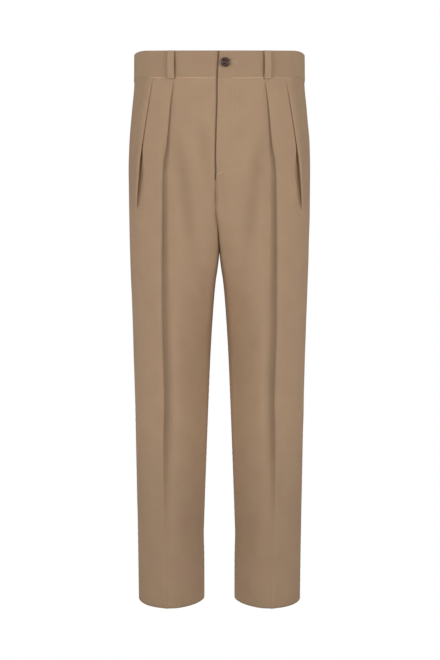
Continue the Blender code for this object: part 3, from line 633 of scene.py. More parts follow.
def front_tone(half, z, s, line, soft):
    """Painted shade and painted highlights on a front: by the pressed crease, the outer pleat, the flank,
    the centre seam and inseam, the hollows and the waist seam; also darker along the hem edge.
    """
    inside = line.length_at(INNER_PLEAT["x"](z)) - s
    # painted shade beside the crease, and a painted highlight on its edge
    dark = TONE["dark"](z) * np.clip(1 - inside / TONE["width"](z), 0, 1)
    tone = TONE["light"](z) * bell(inside + 0.0016, 0.0014) - dark * smooth((inside + 0.0004) / 0.001)
    # painted highlight at the outer pleat's edge, and painted shade on the flank beyond it
    outer = s - line.length_at(OUTER_PLEAT["x"](z))
    tone += TONE["outer"](z) * bell(outer - 0.0014, 0.0013)
    tone -= FLANK_TONE * smooth((outer - 0.003) / 0.005) * smooth((z + 0.31) / 0.08)
    # painted light beside the inseam, and painted shade by the centre seam
    cleft = np.maximum(np.abs(s) - line.contact, 0.0)
    tone += TONE["inner"](z) * bell(cleft, INNER_REACH) - TONE["seam"](z) * bell(cleft, SEAM_SHADE_WIDTH)
    # painted highlight along the waist seam
    if z > BAND_FOOT - WELT - CLOTH / 2:
        x = np.abs(line.place(s)[0])
        tone += WELT_TONE * smooth((x - WELT_FROM[half]) / 0.002) * smooth((WELT_TO - x) / 0.004)
    return np.clip(tone + shade_and_hem_tone(z, soft), -0.6, 0.3)


def fly_relief(s, z):
    """The facing behind the left fly edge shows as a faint step, with a pucker along its stitching."""
    curve = np.clip((FLY_TURN - z) / FLY_CURVE, 0.0, 1.0)
    width = FLY_STITCH * sqrt(1 - curve ** 2)
    shown = smooth((z - (FLY_TURN - FLY_CURVE)) / 0.004) * smooth((-0.03 - z) / 0.012)
    beside = np.abs(s - width)
    step = 0.00028 * (1 - smooth((s - width - 0.003) / 0.003))
    return shown * (step - 0.00022 * bell(beside, 0.0011) + FLY_PUCKER(z, beside)) * smooth(s / 0.003)


def back_row(half, z, sunk):
    """One row of a back: its outline, lengths, heights and tones."""
    line = outline(z, "back")
    crease = line.length_at(SECTION["back_x"](z))
    ridge = crease + BACK_CREASE_REACH * np.concatenate([-NEAR_RIDGE, [0.0], NEAR_RIDGE[::-1]])
    s, out = panel_row(z, line, start_edge(z), (ridge, 0, 26))
    lift = BACK_CREASE_LIFT(z)
    soft = folds(BACK_FOLDS[half], line.place(s)[0], z) + BACK_RIPPLE[half](line.total - s, z)
    dart = smooth((z - BACK_DART_END) / 0.03)
    out += lift * np.clip(1 - np.abs(s - crease) / BACK_CREASE_REACH, 0.0, None) ** 1.6
    out += drape(s, z, line, soft) - 0.0011 * dart * bell(s - line.length_at(BACK_DART_X), 0.0011)
    # painted shade of the folds and lower legs, and a painted highlight along the crease
    tone = shade_and_hem_tone(z, soft) + BACK_CREASE_TONE * lift * bell(s - crease, 0.002)
    return line, s, out - sunk, tone


def panel_grid(row_of, half):
    """The middle surface of a panel as rows of points, with the tone of each."""
    points, tones = [], []
    for z, sunk in ROWS:
        line, s, out, tone = row_of(half, z, sunk)
        points.append(world(line.point(s, out), np.full_like(s, z), half))
        tones.append(tone)
    return np.array(points), np.array(tones)


# ---- meshes
def linked(name, data):
    made = bpy.data.objects.new(name, data)
    bpy.context.scene.collection.objects.link(made)
    return made


class Build:
    """Points and faces of one mesh, with the place of each point on its cloth and its tone."""

    def __init__(self):
        self.points, self.faces, self.cloth, self.tone = [], [], [], []

    def add(self, points, cloth=None, tone=0.0):
        points = np.asarray(points, float).reshape(-1, 3)
        first = sum(map(len, self.points))
        self.points.append(points)
        self.cloth.append(0 * points if cloth is None else np.reshape(cloth, (-1, 3)))
        self.tone.append(np.ravel(tone) + np.zeros(len(points)))
        return first + np.arange(len(points))

    def strip(self, grid, closed=False):
        """Faces between neighbours in a grid of point numbers, whose rows may be closed rings."""
        if closed:
            grid = np.hstack([grid, grid[:, :1]])
        corners = grid[:-1, :-1], grid[1:, :-1], grid[1:, 1:], grid[:-1, 1:]
        self.faces.append(np.stack([part.ravel() for part in corners], axis=1))

    def loft(self, rings, cloth=None, tone=0.0):
        """A closed body through rings of points, its ends closed by a fan to their middle."""
        rings = np.asarray(rings, float)
        cloth = np.zeros_like(rings) if cloth is None else np.array(cloth)
        grid = self.add(rings, cloth, tone).reshape(rings.shape[:2])
        self.strip(grid, closed=True)
        for ring, end in ((grid[0], 0), (grid[-1][::-1], -1)):
            middle = self.add(rings[end].mean(0), cloth[end].mean(0), tone)
            self.faces.append(np.stack([ring, np.roll(ring, -1), np.full(len(ring), middle[0])], axis=1))

    def make(self, name, finish):
        mesh = bpy.data.meshes.new(name)
        faces = [face for block in self.faces for face in block.tolist()]
        mesh.from_pydata(np.vstack(self.points).tolist(), [], faces)
        for key, kind, field, values in (("cloth", "FLOAT_VECTOR", "vector", np.vstack(self.cloth)),
                                         ("tone", "FLOAT", "value", np.concatenate(self.tone))):
            mesh.attributes.new(key, kind, "POINT")
            mesh.attributes[key].data.foreach_set(field, values.astype(np.float32).ravel())
        mesh.shade_smooth()
        mesh.materials.append(finish)
        return linked(name, mesh)


def lofted(name, finish, *form):
    build = Build()
    build.loft(*form)
    return build.make(name, finish)


def turned(profile, x, z, steps):
    """Rings of a body from its profile of radii and depths y, turned about a line through x and z."""
    angles = 2 * pi * np.arange(steps) / steps
    return [[(x + r * cos(a), y, z + r * sin(a)) for a in angles] for r, y in profile]


def grid_normals(points):
    """Unit normals of a grid of points. A top corner, turned in both ways, takes those beside it."""
    down, across = np.gradient(points, axis=0), np.gradient(points, axis=1)
    normal = np.cross(across, down)
    normal[:2, :2] = normal[:2, 2:3]
    normal[:2, -2:] = normal[:2, -3:-2]
    return normal / np.linalg.norm(normal, axis=-1, keepdims=True)


def rim_of(grid):
    return np.concatenate([grid[0, :-1], grid[:-1, -1], grid[-1, :0:-1], grid[:0:-1, 0]])


def shell(name, points, cloth, tone, finish, face):
    """A closed sheet of cloth about a grid of points, with a rounded rim."""
    normal = grid_normals(points)
    outward = 1 if (normal[len(normal) // 2, :, 1].mean() > 0) == (face == "back") else -1
    build = Build()
    outer, lining = (build.add(points + side * outward * CLOTH / 2 * normal, cloth, shade).reshape(tone.shape)
                     for side, shade in ((1, tone), (-1, 0.0)))
    build.strip(outer[:, ::-outward])
    build.strip(lining[:, ::outward])
    numbers = np.arange(tone.size).reshape(tone.shape)
    rim, inner = rim_of(numbers), rim_of(np.pad(numbers[1:-1, 1:-1], 1, mode="edge"))
    flat = points.reshape(-1, 3)
    outwards = flat[rim] - flat[inner]
    outwards /= np.maximum(np.linalg.norm(outwards, axis=1, keepdims=True), 1e-9)
    middle = build.add(flat[rim] + 0.4 * CLOTH * outwards, cloth.reshape(-1, 3)[rim])
    build.strip(np.stack([rim_of(outer), middle, rim_of(lining)])[::outward], closed=True)
    return build.make(name, finish)


def cloth_places(points, column):
    """Where each point of a grid lies on its cloth: across from one column, and down from the top."""
    across = np.array([path_lengths(row) for row in points])
    across -= across[:, column:column + 1]
    down = path_lengths(points[:, column])[:, None] * np.ones_like(across)
    return np.stack([across, down, np.zeros_like(across)], axis=-1)


def recalculate(piece):
    """Turn a closed piece's faces outwards."""
    shape = bmesh.new()
    shape.from_mesh(piece.data)
    bmesh.ops.recalc_face_normals(shape, faces=shape.faces)
    shape.to_mesh(piece.data)
    shape.free()


# ---- materials
class Nodes:
    """Short calls for building a material's node tree."""

    def __init__(self, name):
        self.material = bpy.data.materials.new(name)
        self.material.use_nodes = True
        self.tree = self.material.node_tree
        self.shader = self.tree.nodes["Principled BSDF"]

    def feed(self, node, inputs):
        for key, value in inputs.items():
            if isinstance(value, bpy.types.NodeSocket):
                self.tree.links.new(value, node.inputs[key])
            else:
                node.inputs[key].default_value = value

    def node(self, kind, inputs, output=0, **settings):
        """One output of a new node, whose inputs are set or linked by name or number."""
        made = self.tree.nodes.new("ShaderNode" + kind)
        for key, value in settings.items():
            setattr(made, key, value)
        self.feed(made, inputs)
        return made.outputs[output]

    def times(self, value, factor):
        return self.node("Math", {0: value, 1: factor}, operation="MULTIPLY")

    def wave(self, value, pitch):
        return self.node("Math", {0: self.times(value, 2 * pi / pitch)}, operation="SINE")

    def total(self, first, *others):
        for other in others:
            first = self.node("Math", {0: first, 1: other}, operation="ADD")
        return first

    def noise(self, place, scale, detail=2.0, roughness=0.5):
        return self.node("TexNoise", {"Vector": place, "Scale": scale, "Detail": detail,
                                      "Roughness": roughness})

    def stretched(self, place, scale):
        return self.node("Mapping", {"Vector": place, "Scale": scale})

    def ramp(self, value, low, high, low_to=0.0, high_to=1.0):
        return self.node("MapRange", {0: value, 1: low, 2: high, 3: low_to, 4: high_to})

    def mix(self, factor, first, second):
        return self.node("Mix", {0: factor, 6: first, 7: second}, 2, data_type="RGBA")

    def bump(self, height, strength, distance):
        return self.node("Bump", {"Height": height, "Strength": strength, "Distance": distance})

    def finish(self, colour, roughness, **others):
        names = {name.replace("_", " "): value for name, value in others.items()}
        self.feed(self.shader, {"Base Color": colour, "Roughness": roughness, **names})
        return self.material


TWILL_RIB = 0.00062            # from one diagonal rib to the next
YARN = 0.00031                 # from one yarn to the next
TWILL_DARK = (0.3, 0.192, 0.115, 1)
TWILL_MAIN = (0.405, 0.27, 0.17, 1)
TWILL_LIGHT = (0.47, 0.325, 0.212, 1)


def twill_material(name):
    """Tan cotton twill: steep diagonal ribs crossed by yarns, slubs, and a slightly cloudy dye."""
    m = Nodes(name)
    cloth = m.node("Attribute", {}, "Vector", attribute_name="cloth")
    across = m.node("SeparateXYZ", {0: cloth})
    down = across.node.outputs[1]
    waver = m.ramp(m.noise(cloth, 45.0), 0.0, 1.0, -0.0004, 0.0004)
    rib = m.wave(m.total(across, m.times(down, 0.5), waver), TWILL_RIB)
    yarns = m.total(m.times(m.wave(down, YARN), 0.35), m.times(m.wave(across, YARN), 0.15))
    slubs = m.noise(m.stretched(cloth, (1500.0, 130.0, 1.0)), 1.0, 2.0, 0.6)
    clouds = m.noise(cloth, 26.0, 3.0, 0.55)
    fuzz = m.noise(cloth, 2600.0, 2.0, 0.7)
    tone = m.total(m.ramp(slubs, 0.3, 0.7, -0.16, 0.16), m.ramp(clouds, 0.3, 0.7, -0.1, 0.1),
                   m.ramp(fuzz, 0.3, 0.7, -0.1, 0.1), m.times(rib, 0.12))
    lighter = m.mix(m.ramp(tone, 0.0, 0.9), TWILL_MAIN, TWILL_LIGHT)
    # The tone attribute darkens or lightens the colour: painted shade and painted highlights of creases,
    # folds and seams, and the darker hem edge.
    shade = m.node("Attribute", {}, "Fac", attribute_name="tone")
    colour = m.node("HueSaturation", {
        "Hue": m.ramp(m.noise(cloth, 21.0), 0.25, 0.75, 0.4945, 0.5055),
        "Value": m.total(shade, 1.0),
        "Color": m.mix(m.ramp(tone, 0.0, -0.9), lighter, TWILL_DARK)})
    grain = m.total(m.total(rib, yarns), m.ramp(fuzz, 0.0, 1.0, -0.8, 0.8))
    return m.finish(colour, m.ramp(fuzz, 0.3, 0.7, 0.84, 0.95), Normal=m.bump(grain, 0.55, 0.00007),
                    Specular_IOR_Level=0.18, Sheen_Weight=0.12, Sheen_Roughness=0.45,
                    Sheen_Tint=(0.86, 0.74, 0.6, 1))


def horn_material(name):
    """Dark brown horn, cloudy and striped, polished to a satin."""
    m = Nodes(name)
    place = m.node("TexCoord", {}, "Object")
    clouds = m.noise(m.stretched(place, (1.0, 1.0, 4.0)), 120.0, 4.0, 0.6)
    streaks = m.noise(place, 700.0, 3.0, 0.6)
    tone = m.ramp(m.total(m.times(clouds, 0.75), m.times(streaks, 0.25)), 0.4, 0.62)
    return m.finish(m.mix(tone, (0.02, 0.01, 0.008, 1), (0.15, 0.08, 0.06, 1)),
                    m.ramp(streaks, 0.3, 0.7, 0.18, 0.3), Normal=m.bump(streaks, 0.1, 0.0001))


def thread_material(name, dark, light):
    """Twisted sewing thread."""
    m = Nodes(name)
    fibre = m.noise(m.node("TexCoord", {}, "Object"), 3200.0, 2.0, 0.7)
    return m.finish(m.mix(m.ramp(fibre, 0.35, 0.65), dark, light), 0.75, Sheen_Weight=0.2,
                    Normal=m.bump(fibre, 0.5, 0.00005))


# ---- waistband
BAND_END_ROUND = 0.00012
BAND_SEAM_GAP = -0.0001        # its sewn ends are pressed together
BAND_TONE = -0.08
BAND_RIPPLE = ripples(31, 0.00012, (0.02, 0.09), (0.05, 0.2))
BAND_PUCKER = Pucker(33, 0.00009, 0.004)
BACK_SHARE = outline(0.0, "back").total
FRONT_TOTAL = outline(0.0, "front").total
BAND_SEAM = outline(0.0, "front").length_at(BAND_SEAM_X)
BACK_BAND_LENGTH = BACK_SHARE + FRONT_TOTAL - BAND_SEAM - BAND_SEAM_GAP / 2


def arc(z, out, radius, first, last, steps):
    """Points inside an arc of a section, between two angles that go from outwards to upwards."""
    return [(z + radius * sin(a), out + radius * cos(a))
            for a in np.linspace(first, last, steps + 1)[1:-1]]


def band_ring(inset):
    """Heights and depths round the waistband's section: a folded top edge and a nearly square foot."""
    half = BAND_CLOTH / 2 - inset
    corner = min(0.0004, half / 2)
    top, foot = BAND_TOP - inset - half, BAND_FOOT + inset
    low = foot + corner
    return [*((z, half) for z in np.linspace(low, top, 22)),
            *arc(top, 0.0, half, 0.0, pi, 9),
            *((z, -half) for z in np.linspace(top, low, 14)),
            *arc(low, corner - half, corner, pi, 1.5 * pi, 3),
            (foot, corner - half), (foot, half - corner),
            *arc(low, half - corner, corner, 1.5 * pi, 2 * pi, 3)]


def band_relief(half, u, z):
    seam = 0.0002 * bell(BAND_TOP - z - 0.0035, 0.0016)
    return float(BAND_RIPPLE[half](u, z)) + float(BAND_PUCKER(u, z - BAND_FOOT)) - seam


def front_band_place(half, s, z, out):
    if half == "right":
        out -= (BAND_CLOTH + 0.0016) * float(under_lap(s))
    return world(outline(z, "front").point(s, out), z, half)


def back_band_place(half, u, z, out):
    """u runs from the centre back to the side seam, and on to the seam above the outer pleat."""
    behind, ahead = outline(z, "back"), outline(z, "front")
    if u <= BACK_SHARE:
        return world(behind.point(behind.total * u / BACK_SHARE, out), z, half)
    start = ahead.length_at(BAND_SEAM_X) + BAND_SEAM_GAP / 2
    t = (u - BACK_SHARE) / (BACK_BAND_LENGTH - BACK_SHARE)
    return world(ahead.point(ahead.total + (start - ahead.total) * t, out), z, half)


def band(name, half, first, last, count, place, finish):
    """A waistband piece: its section swept along lengths u, with rounded ends."""
    near = BAND_END_ROUND * (1 - np.cos(pi / 2 * np.arange(5) / 4))
    between = np.linspace(first + 0.0015, last - 0.0015, count)
    rings, cloth = [], []
    for u in np.concatenate([first + near, between, last - near[::-1]]):
        ring = band_ring(turned_in(min(u - first, last - u), BAND_END_ROUND))
        rings.append([place(half, u, round(z, 7), out + band_relief(half, u, z) * (out > 0))
                      for z, out in ring])
        cloth.append([(u, z + 2 * out, 0.0) for z, out in ring])
    return lofted(name, finish, rings, cloth, BAND_TONE)


# ---- belt loops
LOOP_ROUND, LOOP_BOW = 0.0005, 0.0018
TACK_ROW = 17                  # of a loop's path: outside, just above its foot


def loop_path():
    """Heights and depths along a belt loop: folded under at its foot, up the band and under again."""
    low, high = LOOP_FOOT, LOOP_HEAD
    base = BAND_CLOTH / 2 + SEAM_GAP + LOOP_CLOTH / 2
    fold = LOOP_CLOTH + 0.0002
    near, far = base + 0.25 * fold, base + 0.75 * fold
    round_end, end = 0.0018, 0.007
    rise = [(low + round_end + (high - low - 2 * round_end) * t,
             base + fold + LOOP_BOW * sin(pi * t)) for t in np.arange(7) / 6]
    return rounded([(low + end, base), (low + round_end, base), (low + 0.0002, near), (low + 0.0002, far),
                    *rise, (high, far), (high, near), (high - round_end, base), (high - end, base)], 5)


def belt_loop(name, half, face, s, finish):
    """A flat tube of twill, swept along its path, with a soft rounded section and a shallow middle."""
    path = loop_path()
    along = np.gradient(path, axis=0)
    along /= np.linalg.norm(along, axis=1, keepdims=True)
    half_width, half_cloth = LOOP_WIDTH / 2, (LOOP_CLOTH - 0.0003) / 2
    corner = half_width - LOOP_ROUND
    flat, turn = np.linspace(-corner, corner, 9), pi / 2 * np.arange(-3, 4) / 4
    section = [(a, half_cloth - 0.00012 * cos(pi * a / half_width) ** 2) for a in flat]
    section += [(corner + LOOP_ROUND * cos(t), half_cloth * sin(t)) for t in turn[::-1]]
    section += [(a, -half_cloth) for a in flat[::-1]]
    section += [(-corner - LOOP_ROUND * cos(t), half_cloth * sin(t)) for t in turn]
    rings, cloth = [], []
    for (z, out), (run_z, run_out), run in zip(path, along, path_lengths(path)):
        ring = []
        for a, t in section:
            z_here, out_here = z - t * run_out, out + t * run_z
            line = outline(round(z_here, 5), face)
            ring.append(world(line.point(s + a, out_here), z_here, half))
        rings.append(ring)
        cloth.append([(a + 2 * t, run, 0.0) for a, t in section])
    return lofted(name, finish, rings, cloth)


# ---- thread
FLY_THREAD, TACK_THREAD, HOLE_THREAD, BUTTON_THREAD = 0.00019, 0.00016, 0.00024, 0.00018      # radii
FLY_STITCH_TOP = -0.0262
STITCH_STEP, STITCH_SPACE = 0.0027, 0.0005
# Bar tacks: their width and number of stitches.
FLY_TACK, LOOP_TACK, HOLE_TACK = (0.0016, 40), (0.0011, 30), (0.0014, 12)


def stitch(build, start, end, up, radius, sink=0.6):
    """One stitch: a short round thread that rises between its ends and dips into the cloth at them."""
    start, end, up = (np.asarray(v, float) for v in (start, end, up))
    along = unit(end - start)
    up = unit(up - along * np.dot(up, along))
    side = np.cross(along, up)
    rings = []
    for t, high, fat in ((0.0, -sink, 0.55), (0.12, 0.35, 0.95), (0.5, 0.75, 1.0), (0.88, 0.35, 0.95),
                         (1.0, -sink, 0.55)):
        middle = start + (end - start) * t + up * high * radius
        rings.append([middle + fat * radius * (cos(a) * up + sin(a) * side)
                      for a in pi * 2 * np.arange(6) / 6])
    build.loft(rings)


def on_left_front(s, z):
    """A point on the plain part of the left front, with the way out of the cloth there."""
    line = outline(round(z, 6), "front")
    x = np.abs(line.place(s)[:1])
    soft = float(folds(FRONT_FOLDS["left"], x, z)[0]) + float(FRONT_RIPPLE["left"](line.total - s, z))
    out = soft * float(smooth(min(s, line.total - s) / DRAPE_FADE)) + float(fly_relief(s, z))
    return on_cloth(line, "left", s, z, out + CLOTH / 2)


def fly_seam_path(beyond):
    """Lengths and heights along the fly's stitching: straight down, then a quarter round to the edge."""
    width = FLY_STITCH + beyond
    path = [(width, z) for z in np.arange(FLY_STITCH_TOP, FLY_TURN, -0.0004)]
    path += [(width * cos(a), FLY_TURN - (FLY_CURVE + beyond) * sin(a))
             for a in pi / 2 * np.arange(1, 161) / 160]
    return np.array([point for point in path if point[0] > 0.0022])


def fly_stitches(finish):
    build = Build()
    for beyond in (0.0, FLY_ROWS_APART):
        path = fly_seam_path(beyond)
        run = path_lengths(path)
        for i in range(int(run[-1] / STITCH_STEP)):
            ends = [[float(np.interp(at, run, values)) for values in path.T]
                    for at in (i * STITCH_STEP + STITCH_SPACE / 2, (i + 1) * STITCH_STEP - STITCH_SPACE / 2)]
            (start, up), (end, _) = (on_left_front(s, z) for s, z in ends)
            stitch(build, start, end, up, FLY_THREAD)
    return build.make("fly_stitching", finish)


def bar_tack(build, middle, across, up, width, count):
    """A row of tight stitches side by side."""
    across = unit(across - up * np.dot(across, up))
    along = np.cross(across, up)
    for i in range(count):
        beside = along * (i - (count - 1) / 2) * TACK_THREAD * 1.7
        centre = middle + beside - across * 0.06 * width * sin(2.4 * i)
        stitch(build, centre - across * width / 2, centre + across * width / 2, up, TACK_THREAD)


def tacks(loops, finish):
    """Bar tacks at the fly's end and across each belt loop near its foot."""
    build = Build()
    middle, up = on_left_front(0.006, FLY_END + 0.004)
    bar_tack(build, middle, np.array((-0.5, 0, 1)), up, *FLY_TACK)
    z, out = loop_path()[TACK_ROW]
    out += LOOP_CLOTH / 2 - 0.00022
    for half, face, s in loops:
        line = outline(round(float(z), 5), face)
        here, up = on_cloth(line, half, s, z, out)
        sideways = world(line.point(s + 0.001, out), z, half) - here
        bar_tack(build, here, np.cross(up, sideways), up, *LOOP_TACK)
    return build.make("bar_tacks", finish)


# ---- button and buttonhole
HOLE_REACH, HOLE_RADIUS = 0.0019, 0.001
BUTTON_STAND = 0.0011          # from the band to its back
BUTTON_FACE = 0.0015           # from its back to its dished face
SHANK_RADIUS = 0.00125
THREAD_SPREAD = 0.0002         # from a hole's middle to each of its two threads
THREAD_LIFT = 0.00035          # of the second pair of threads, over the first
EYE_RADIUS, SLIT_HALF = 0.0016, 0.0001
HOLE_STITCH = (0.00005, 0.00195)                 # its two ends, from the cut edge of the buttonhole
# From the back's middle to the face's middle, as shares of the radius and millimetres: a rounded edge,
# a raised rim and a dished face.
BUTTON_PROFILE = ((0.6, 0), (0.8, 0.2), (0.93, 0.8), (1, 1.6), (0.985, 2.2), (0.93, 2.7), (0.86, 2.8),
                  (0.79, 2.6), (0.72, 2.1), (0.66, 1.7), (0.55, 1.55), (0.3, 1.5))


def button_place():
    line = outline(BUTTON_Z, "front")
    s = line.length_at(BUTTON_X - CENTRE_DRIFT(BUTTON_Z))
    return s, world(line.point(s, 0.0), BUTTON_Z, "left")


def cut(piece, *cutters):
    """Cut a piece with others, apply the cuts and remove the cutters."""
    for part in (piece, *cutters):
        recalculate(part)
    for cutter in cutters:
        boolean = piece.modifiers.new("cut", "BOOLEAN")
        boolean.operation, boolean.solver, boolean.object = "DIFFERENCE", "EXACT", cutter
    bpy.context.view_layer.update()
    shown = piece.evaluated_get(bpy.context.evaluated_depsgraph_get())
    mesh = bpy.data.meshes.new_from_object(shown)
    piece.modifiers.clear()
    piece.data = mesh
    mesh.shade_smooth()
    mesh.set_sharp_from_angle(angle=radians(50))
    for cutter in cutters:
        bpy.data.objects.remove(cutter, do_unlink=True)


def make_button(horn, thread):
    """The button, the shank that it stands on, and the crossed threads in its holes."""
    (x, y, z), radius = button_place()[1], BUTTON_DIAMETER / 2
    back = y - BAND_CLOTH / 2 - BUTTON_STAND
    profile = rounded([(share * radius, back - MM * depth) for share, depth in BUTTON_PROFILE], 4)
    button = lofted("button_detail", horn, turned(profile, x, z, 96))
    holes = [(x + HOLE_REACH * cos(a), z + HOLE_REACH * sin(a))
             for a in pi / 4 + pi / 2 * np.arange(4)]
    pin = ((HOLE_RADIUS, back + 0.002), (HOLE_RADIUS, back - 0.005))
    cut(button, *(lofted("hole", horn, turned(pin, *hole, 24)) for hole in holes))
    build = Build()
    for first, second in ((0, 2), (1, 3)):
        lift = THREAD_LIFT if first else 0.0
        start, end = (np.array((holes[i][0], back - BUTTON_FACE + 0.0004 - lift, holes[i][1]))
                      for i in (first, second))
        for shift in (-THREAD_SPREAD, THREAD_SPREAD):
            side = unit((start[2] - end[2], 0, end[0] - start[0])) * shift
            stitch(build, start + side, end + side, (0, -1, 0), BUTTON_THREAD, 2.5)
    foot = y + BAND_CLOTH / 2 + 0.0003
    shank = [(SHANK_RADIUS + 0.0003 * cos(2 * pi * t) + 0.00008 * sin(9 * pi * t),
              foot + (back - 0.0001 - foot) * t) for t in np.arange(13) / 12]
    build.loft(turned(shank, x, z, 16))
    return button, build.make("button_threads", thread)


def hole_outline(grow):
    """A keyhole from the eye under the button out to the end of the slit, as (along, up) pairs."""
    eye, slit, end = EYE_RADIUS + grow, SLIT_HALF + grow, BUTTONHOLE_LENGTH
    meet = asin(min(slit / eye, 1.0))
    straight = np.linspace(eye + 0.0006, end, 34)
    return [*((eye * cos(a), eye * sin(a)) for a in np.linspace(meet, 2 * pi - meet, 26)),
            *((x, -slit) for x in straight),
            *((end + slit * cos(a), slit * sin(a)) for a in np.linspace(-pi / 2, pi / 2, 7)[1:-1]),
            *((x, slit) for x in straight[::-1])]


def on_left_band(s, z):
    out = BAND_CLOTH / 2 + band_relief("left", s, z)
    return on_cloth(outline(round(z, 6), "front"), "left", s, z, out)


def make_buttonhole(owner, thread):
    """Cut the keyhole through the band and sew its edge over with close stitches."""
    s, (x, y, z) = button_place()
    cut(owner, lofted("keyhole", thread, [[(x + along, y + reach, z + up) for along, up in hole_outline(0.0)]
                                          for reach in (-0.006, 0.006)]))
    build = Build()
    for (a0, u0), (a1, u1) in zip(*map(hole_outline, HOLE_STITCH)):
        start, up = on_left_band(s + a0, BUTTON_Z + u0)
        stitch(build, start, on_left_band(s + a1, BUTTON_Z + u1)[0], up, HOLE_THREAD)
    tack, up = on_left_band(s + BUTTONHOLE_LENGTH + 0.0012, BUTTON_Z)
    bar_tack(build, tack, np.array((1, 0, 0)), up, *HOLE_TACK)
    return build.make("buttonhole_stitching", thread)


# ---- assembly
BEFORE_CREASE = len(EDGE) + FLANK_COLUMNS + 1 + LOBE_COLUMNS
FRONT_CREASE_COLUMN = BEFORE_CREASE + LEAD_COLUMNS + sum(WAY_STEPS)
BACK_CREASE_COLUMN = BEFORE_CREASE + len(NEAR_RIDGE)


def dress(piece, slot, *nodes):
    recalculate(piece)
    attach(piece, "root")
    if nodes:
        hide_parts(*nodes)
    return piece


def build_trousers():
    """Every piece in its place. The cloth pieces are returned by the names of their solids."""
    twill = twill_material("twill_cloth")
    horn = horn_material("button_horn")
    thread = thread_material("tan_thread", (0.4, 0.28, 0.185, 1), (0.6, 0.45, 0.32, 1))
    dark_thread = thread_material("button_thread", (0.16, 0.1, 0.07, 1), (0.26, 0.17, 0.12, 1))
    sheets = {}

    def sew(name, make, *details):
        sheets[name] = dress(make(name + "_cloth", *details), "twill", name)

    for half in HALVES:
        for face, row, column in (("front", front_row, FRONT_CREASE_COLUMN),
                                  ("back", back_row, BACK_CREASE_COLUMN)):
            points, tone = panel_grid(row, half)
            sew(f"{face}_{half}", shell, points, cloth_places(points, column), tone, twill, face)
        sew("waistband_back_" + half, band, half, 0.0, BACK_BAND_LENGTH, 150, back_band_place, twill)
    for half, start, count in (("left", 0.0, 84), ("right", -BAND_UNDERLAP, 110)):
        sew("waistband_front_" + half, band, half, start, BAND_SEAM - BAND_SEAM_GAP / 2, count,
            front_band_place, twill)
    loops = {f"{face}_{half}": (half, face, outline(0.0, face).length_at(x))
             for face, x in (("front", FRONT_LOOP_X), ("back", BACK_LOOP_X)) for half in HALVES}
    loops["back_centre"] = ("left", "back", 0.0)
    for spot, place in loops.items():
        sew("belt_loop_" + spot, belt_loop, *place, twill)
    button, shank = make_button(horn, dark_thread)
    dress(button, "horn", "button")
    dress(shank, "thread", "button_shank")
    dress(make_buttonhole(sheets["waistband_front_left"], thread), "thread")
    dress(fly_stitches(thread), "thread")
    dress(tacks(loops.values(), thread), "thread")
    return sheets


# ---- studio
AMBIENT = 0.18
FLOOR_SIZE, FLOOR_BEHIND, FLOOR_LEVEL = 2.2, 0.38, -1.33


def set_camera():
    data = bpy.data.cameras.new("camera")
    data.lens = 70.6
    data.sensor_width = 36.0
    camera = linked("camera", data)
    camera.location = (0.0011, -2.46, -0.208)
    camera.rotation_euler = (pi / 2 - radians(6.83), 0, 0)
    bpy.context.scene.camera = camera


def softbox(name, place, aim, width, height, power):
    data = bpy.data.lights.new(name, "AREA")
    data.shape = "RECTANGLE"
    data.size, data.size_y, data.energy = width, height, power
    lamp = linked(name, data)
    lamp.location = place
    lamp.rotation_euler = (Vector(aim) - Vector(place)).to_track_quat("-Z", "Y").to_euler()


def white_world():
    """White behind the trousers, and a much weaker white light all round."""
    made = bpy.data.worlds.new("white_studio")
    made.use_nodes = True
    nodes, links = made.node_tree.nodes, made.node_tree.links
    background = nodes["Background"]
    background.inputs["Color"].default_value = (1, 1, 1, 1)
    level = nodes.new("ShaderNodeMapRange")
    level.inputs["To Min"].default_value = AMBIENT
    level.inputs["To Max"].default_value = 1.0
    links.new(nodes.new("ShaderNodeLightPath").outputs["Is Camera Ray"], level.inputs["Value"])
    links.new(level.outputs["Result"], background.inputs["Strength"])
    return made


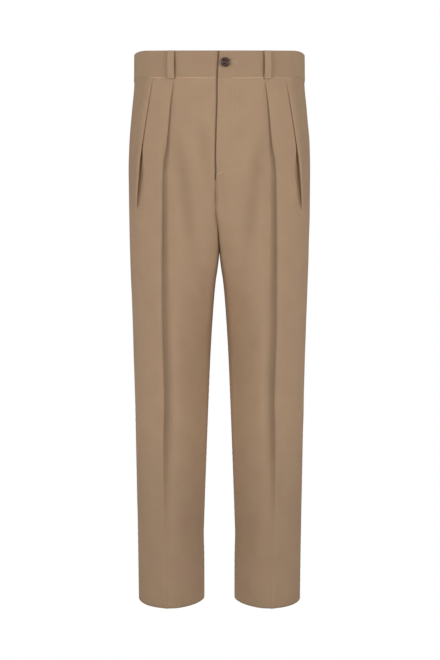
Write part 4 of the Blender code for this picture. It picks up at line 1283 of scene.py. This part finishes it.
def set_studio():
    scene = bpy.context.scene
    scene.view_settings.view_transform = "Standard"
    scene.world = white_world()
    for name, side in (("left", -1), ("right", 1)):
        softbox(name + "_front", (1.85 * side, -1.8, 0.3), (0, 0, -0.4), 1.2, 1.2, 30)
        softbox(name + "_high", (2.2 * side, -1.3, 0.8), (0, 0, -0.2), 1.2, 1.2, 4)
        softbox(name + "_side", (2.4 * side, -0.2, 0.3), (0, 0, 0), 1.2, 1.2, 4)
    softbox("top", (0, -0.5, 2.2), (0, 0, 0), 1.6, 1.0, 5)
    softbox("key", (0, -2.6, 1.0), (0, 0, -0.3), 1.2, 1.0, 4)
    softbox("rear", (0.3, 2.4, 1.2), (0, 0, -0.3), 1.8, 1.4, 40)
    mesh = bpy.data.meshes.new("floor")
    mesh.from_pydata([(x, y, FLOOR_LEVEL) for x, y in (
        (-FLOOR_SIZE, -FLOOR_SIZE), (FLOOR_SIZE, -FLOOR_SIZE), (FLOOR_SIZE, FLOOR_BEHIND),
        (-FLOOR_SIZE, FLOOR_BEHIND))], [], [(0, 1, 2, 3)])
    mesh.materials.append(Nodes("pale_floor").finish((0.62, 0.62, 0.62, 1), 0.9, Emission_Color=(1, 1, 1, 1),
                                                     Emission_Strength=0.2))
    linked("floor", mesh)


# Width and length in metres that each piece measures laid flat, with its area where it isn't a
# rectangle, how it is held, and what it is sewn to. Seam allowances that no one sees come on top.
CUTS = (
    ("front_left", 0.375, 1.045, 0.288, "hung", "waistband_front_left", "back_left"),
    ("front_right", 0.37, 1.045, 0.286, "hung", "waistband_front_right", "back_right"),
    ("back_left", 0.369, 1.064, 0.275, "hung", "waistband_back_left", "back_right"),
    ("back_right", 0.369, 1.064, 0.275, "hung", "waistband_back_right", "back_left"),
    ("waistband_front_left", 0.121, 0.047, None, "hung", "waistband_back_left"),
    ("waistband_front_right", 0.157, 0.047, None, "hung", "waistband_back_right"),
    ("waistband_back_left", 0.322, 0.047, None, "hung", "waistband_back_right"),
    ("waistband_back_right", 0.322, 0.047, None, "hung", "waistband_back_left"),
    *(("belt_loop_" + spot, 0.012, 0.064, None, "folded", "waistband_" + spot)
      for spot in ("front_left", "front_right", "back_left", "back_right")),
    ("belt_loop_back_centre", 0.012, 0.064, None, "folded", "waistband_back_left"),
)


def declare(sheets):
    """Look up the objects that each cloth piece in the cuts is sewn to; nothing further is done with them."""
    for name, width, length, area, held, *sewn_to in CUTS:
        others = [sheets[other].name for other in sewn_to]


declare(build_trousers())
set_camera()
set_studio()
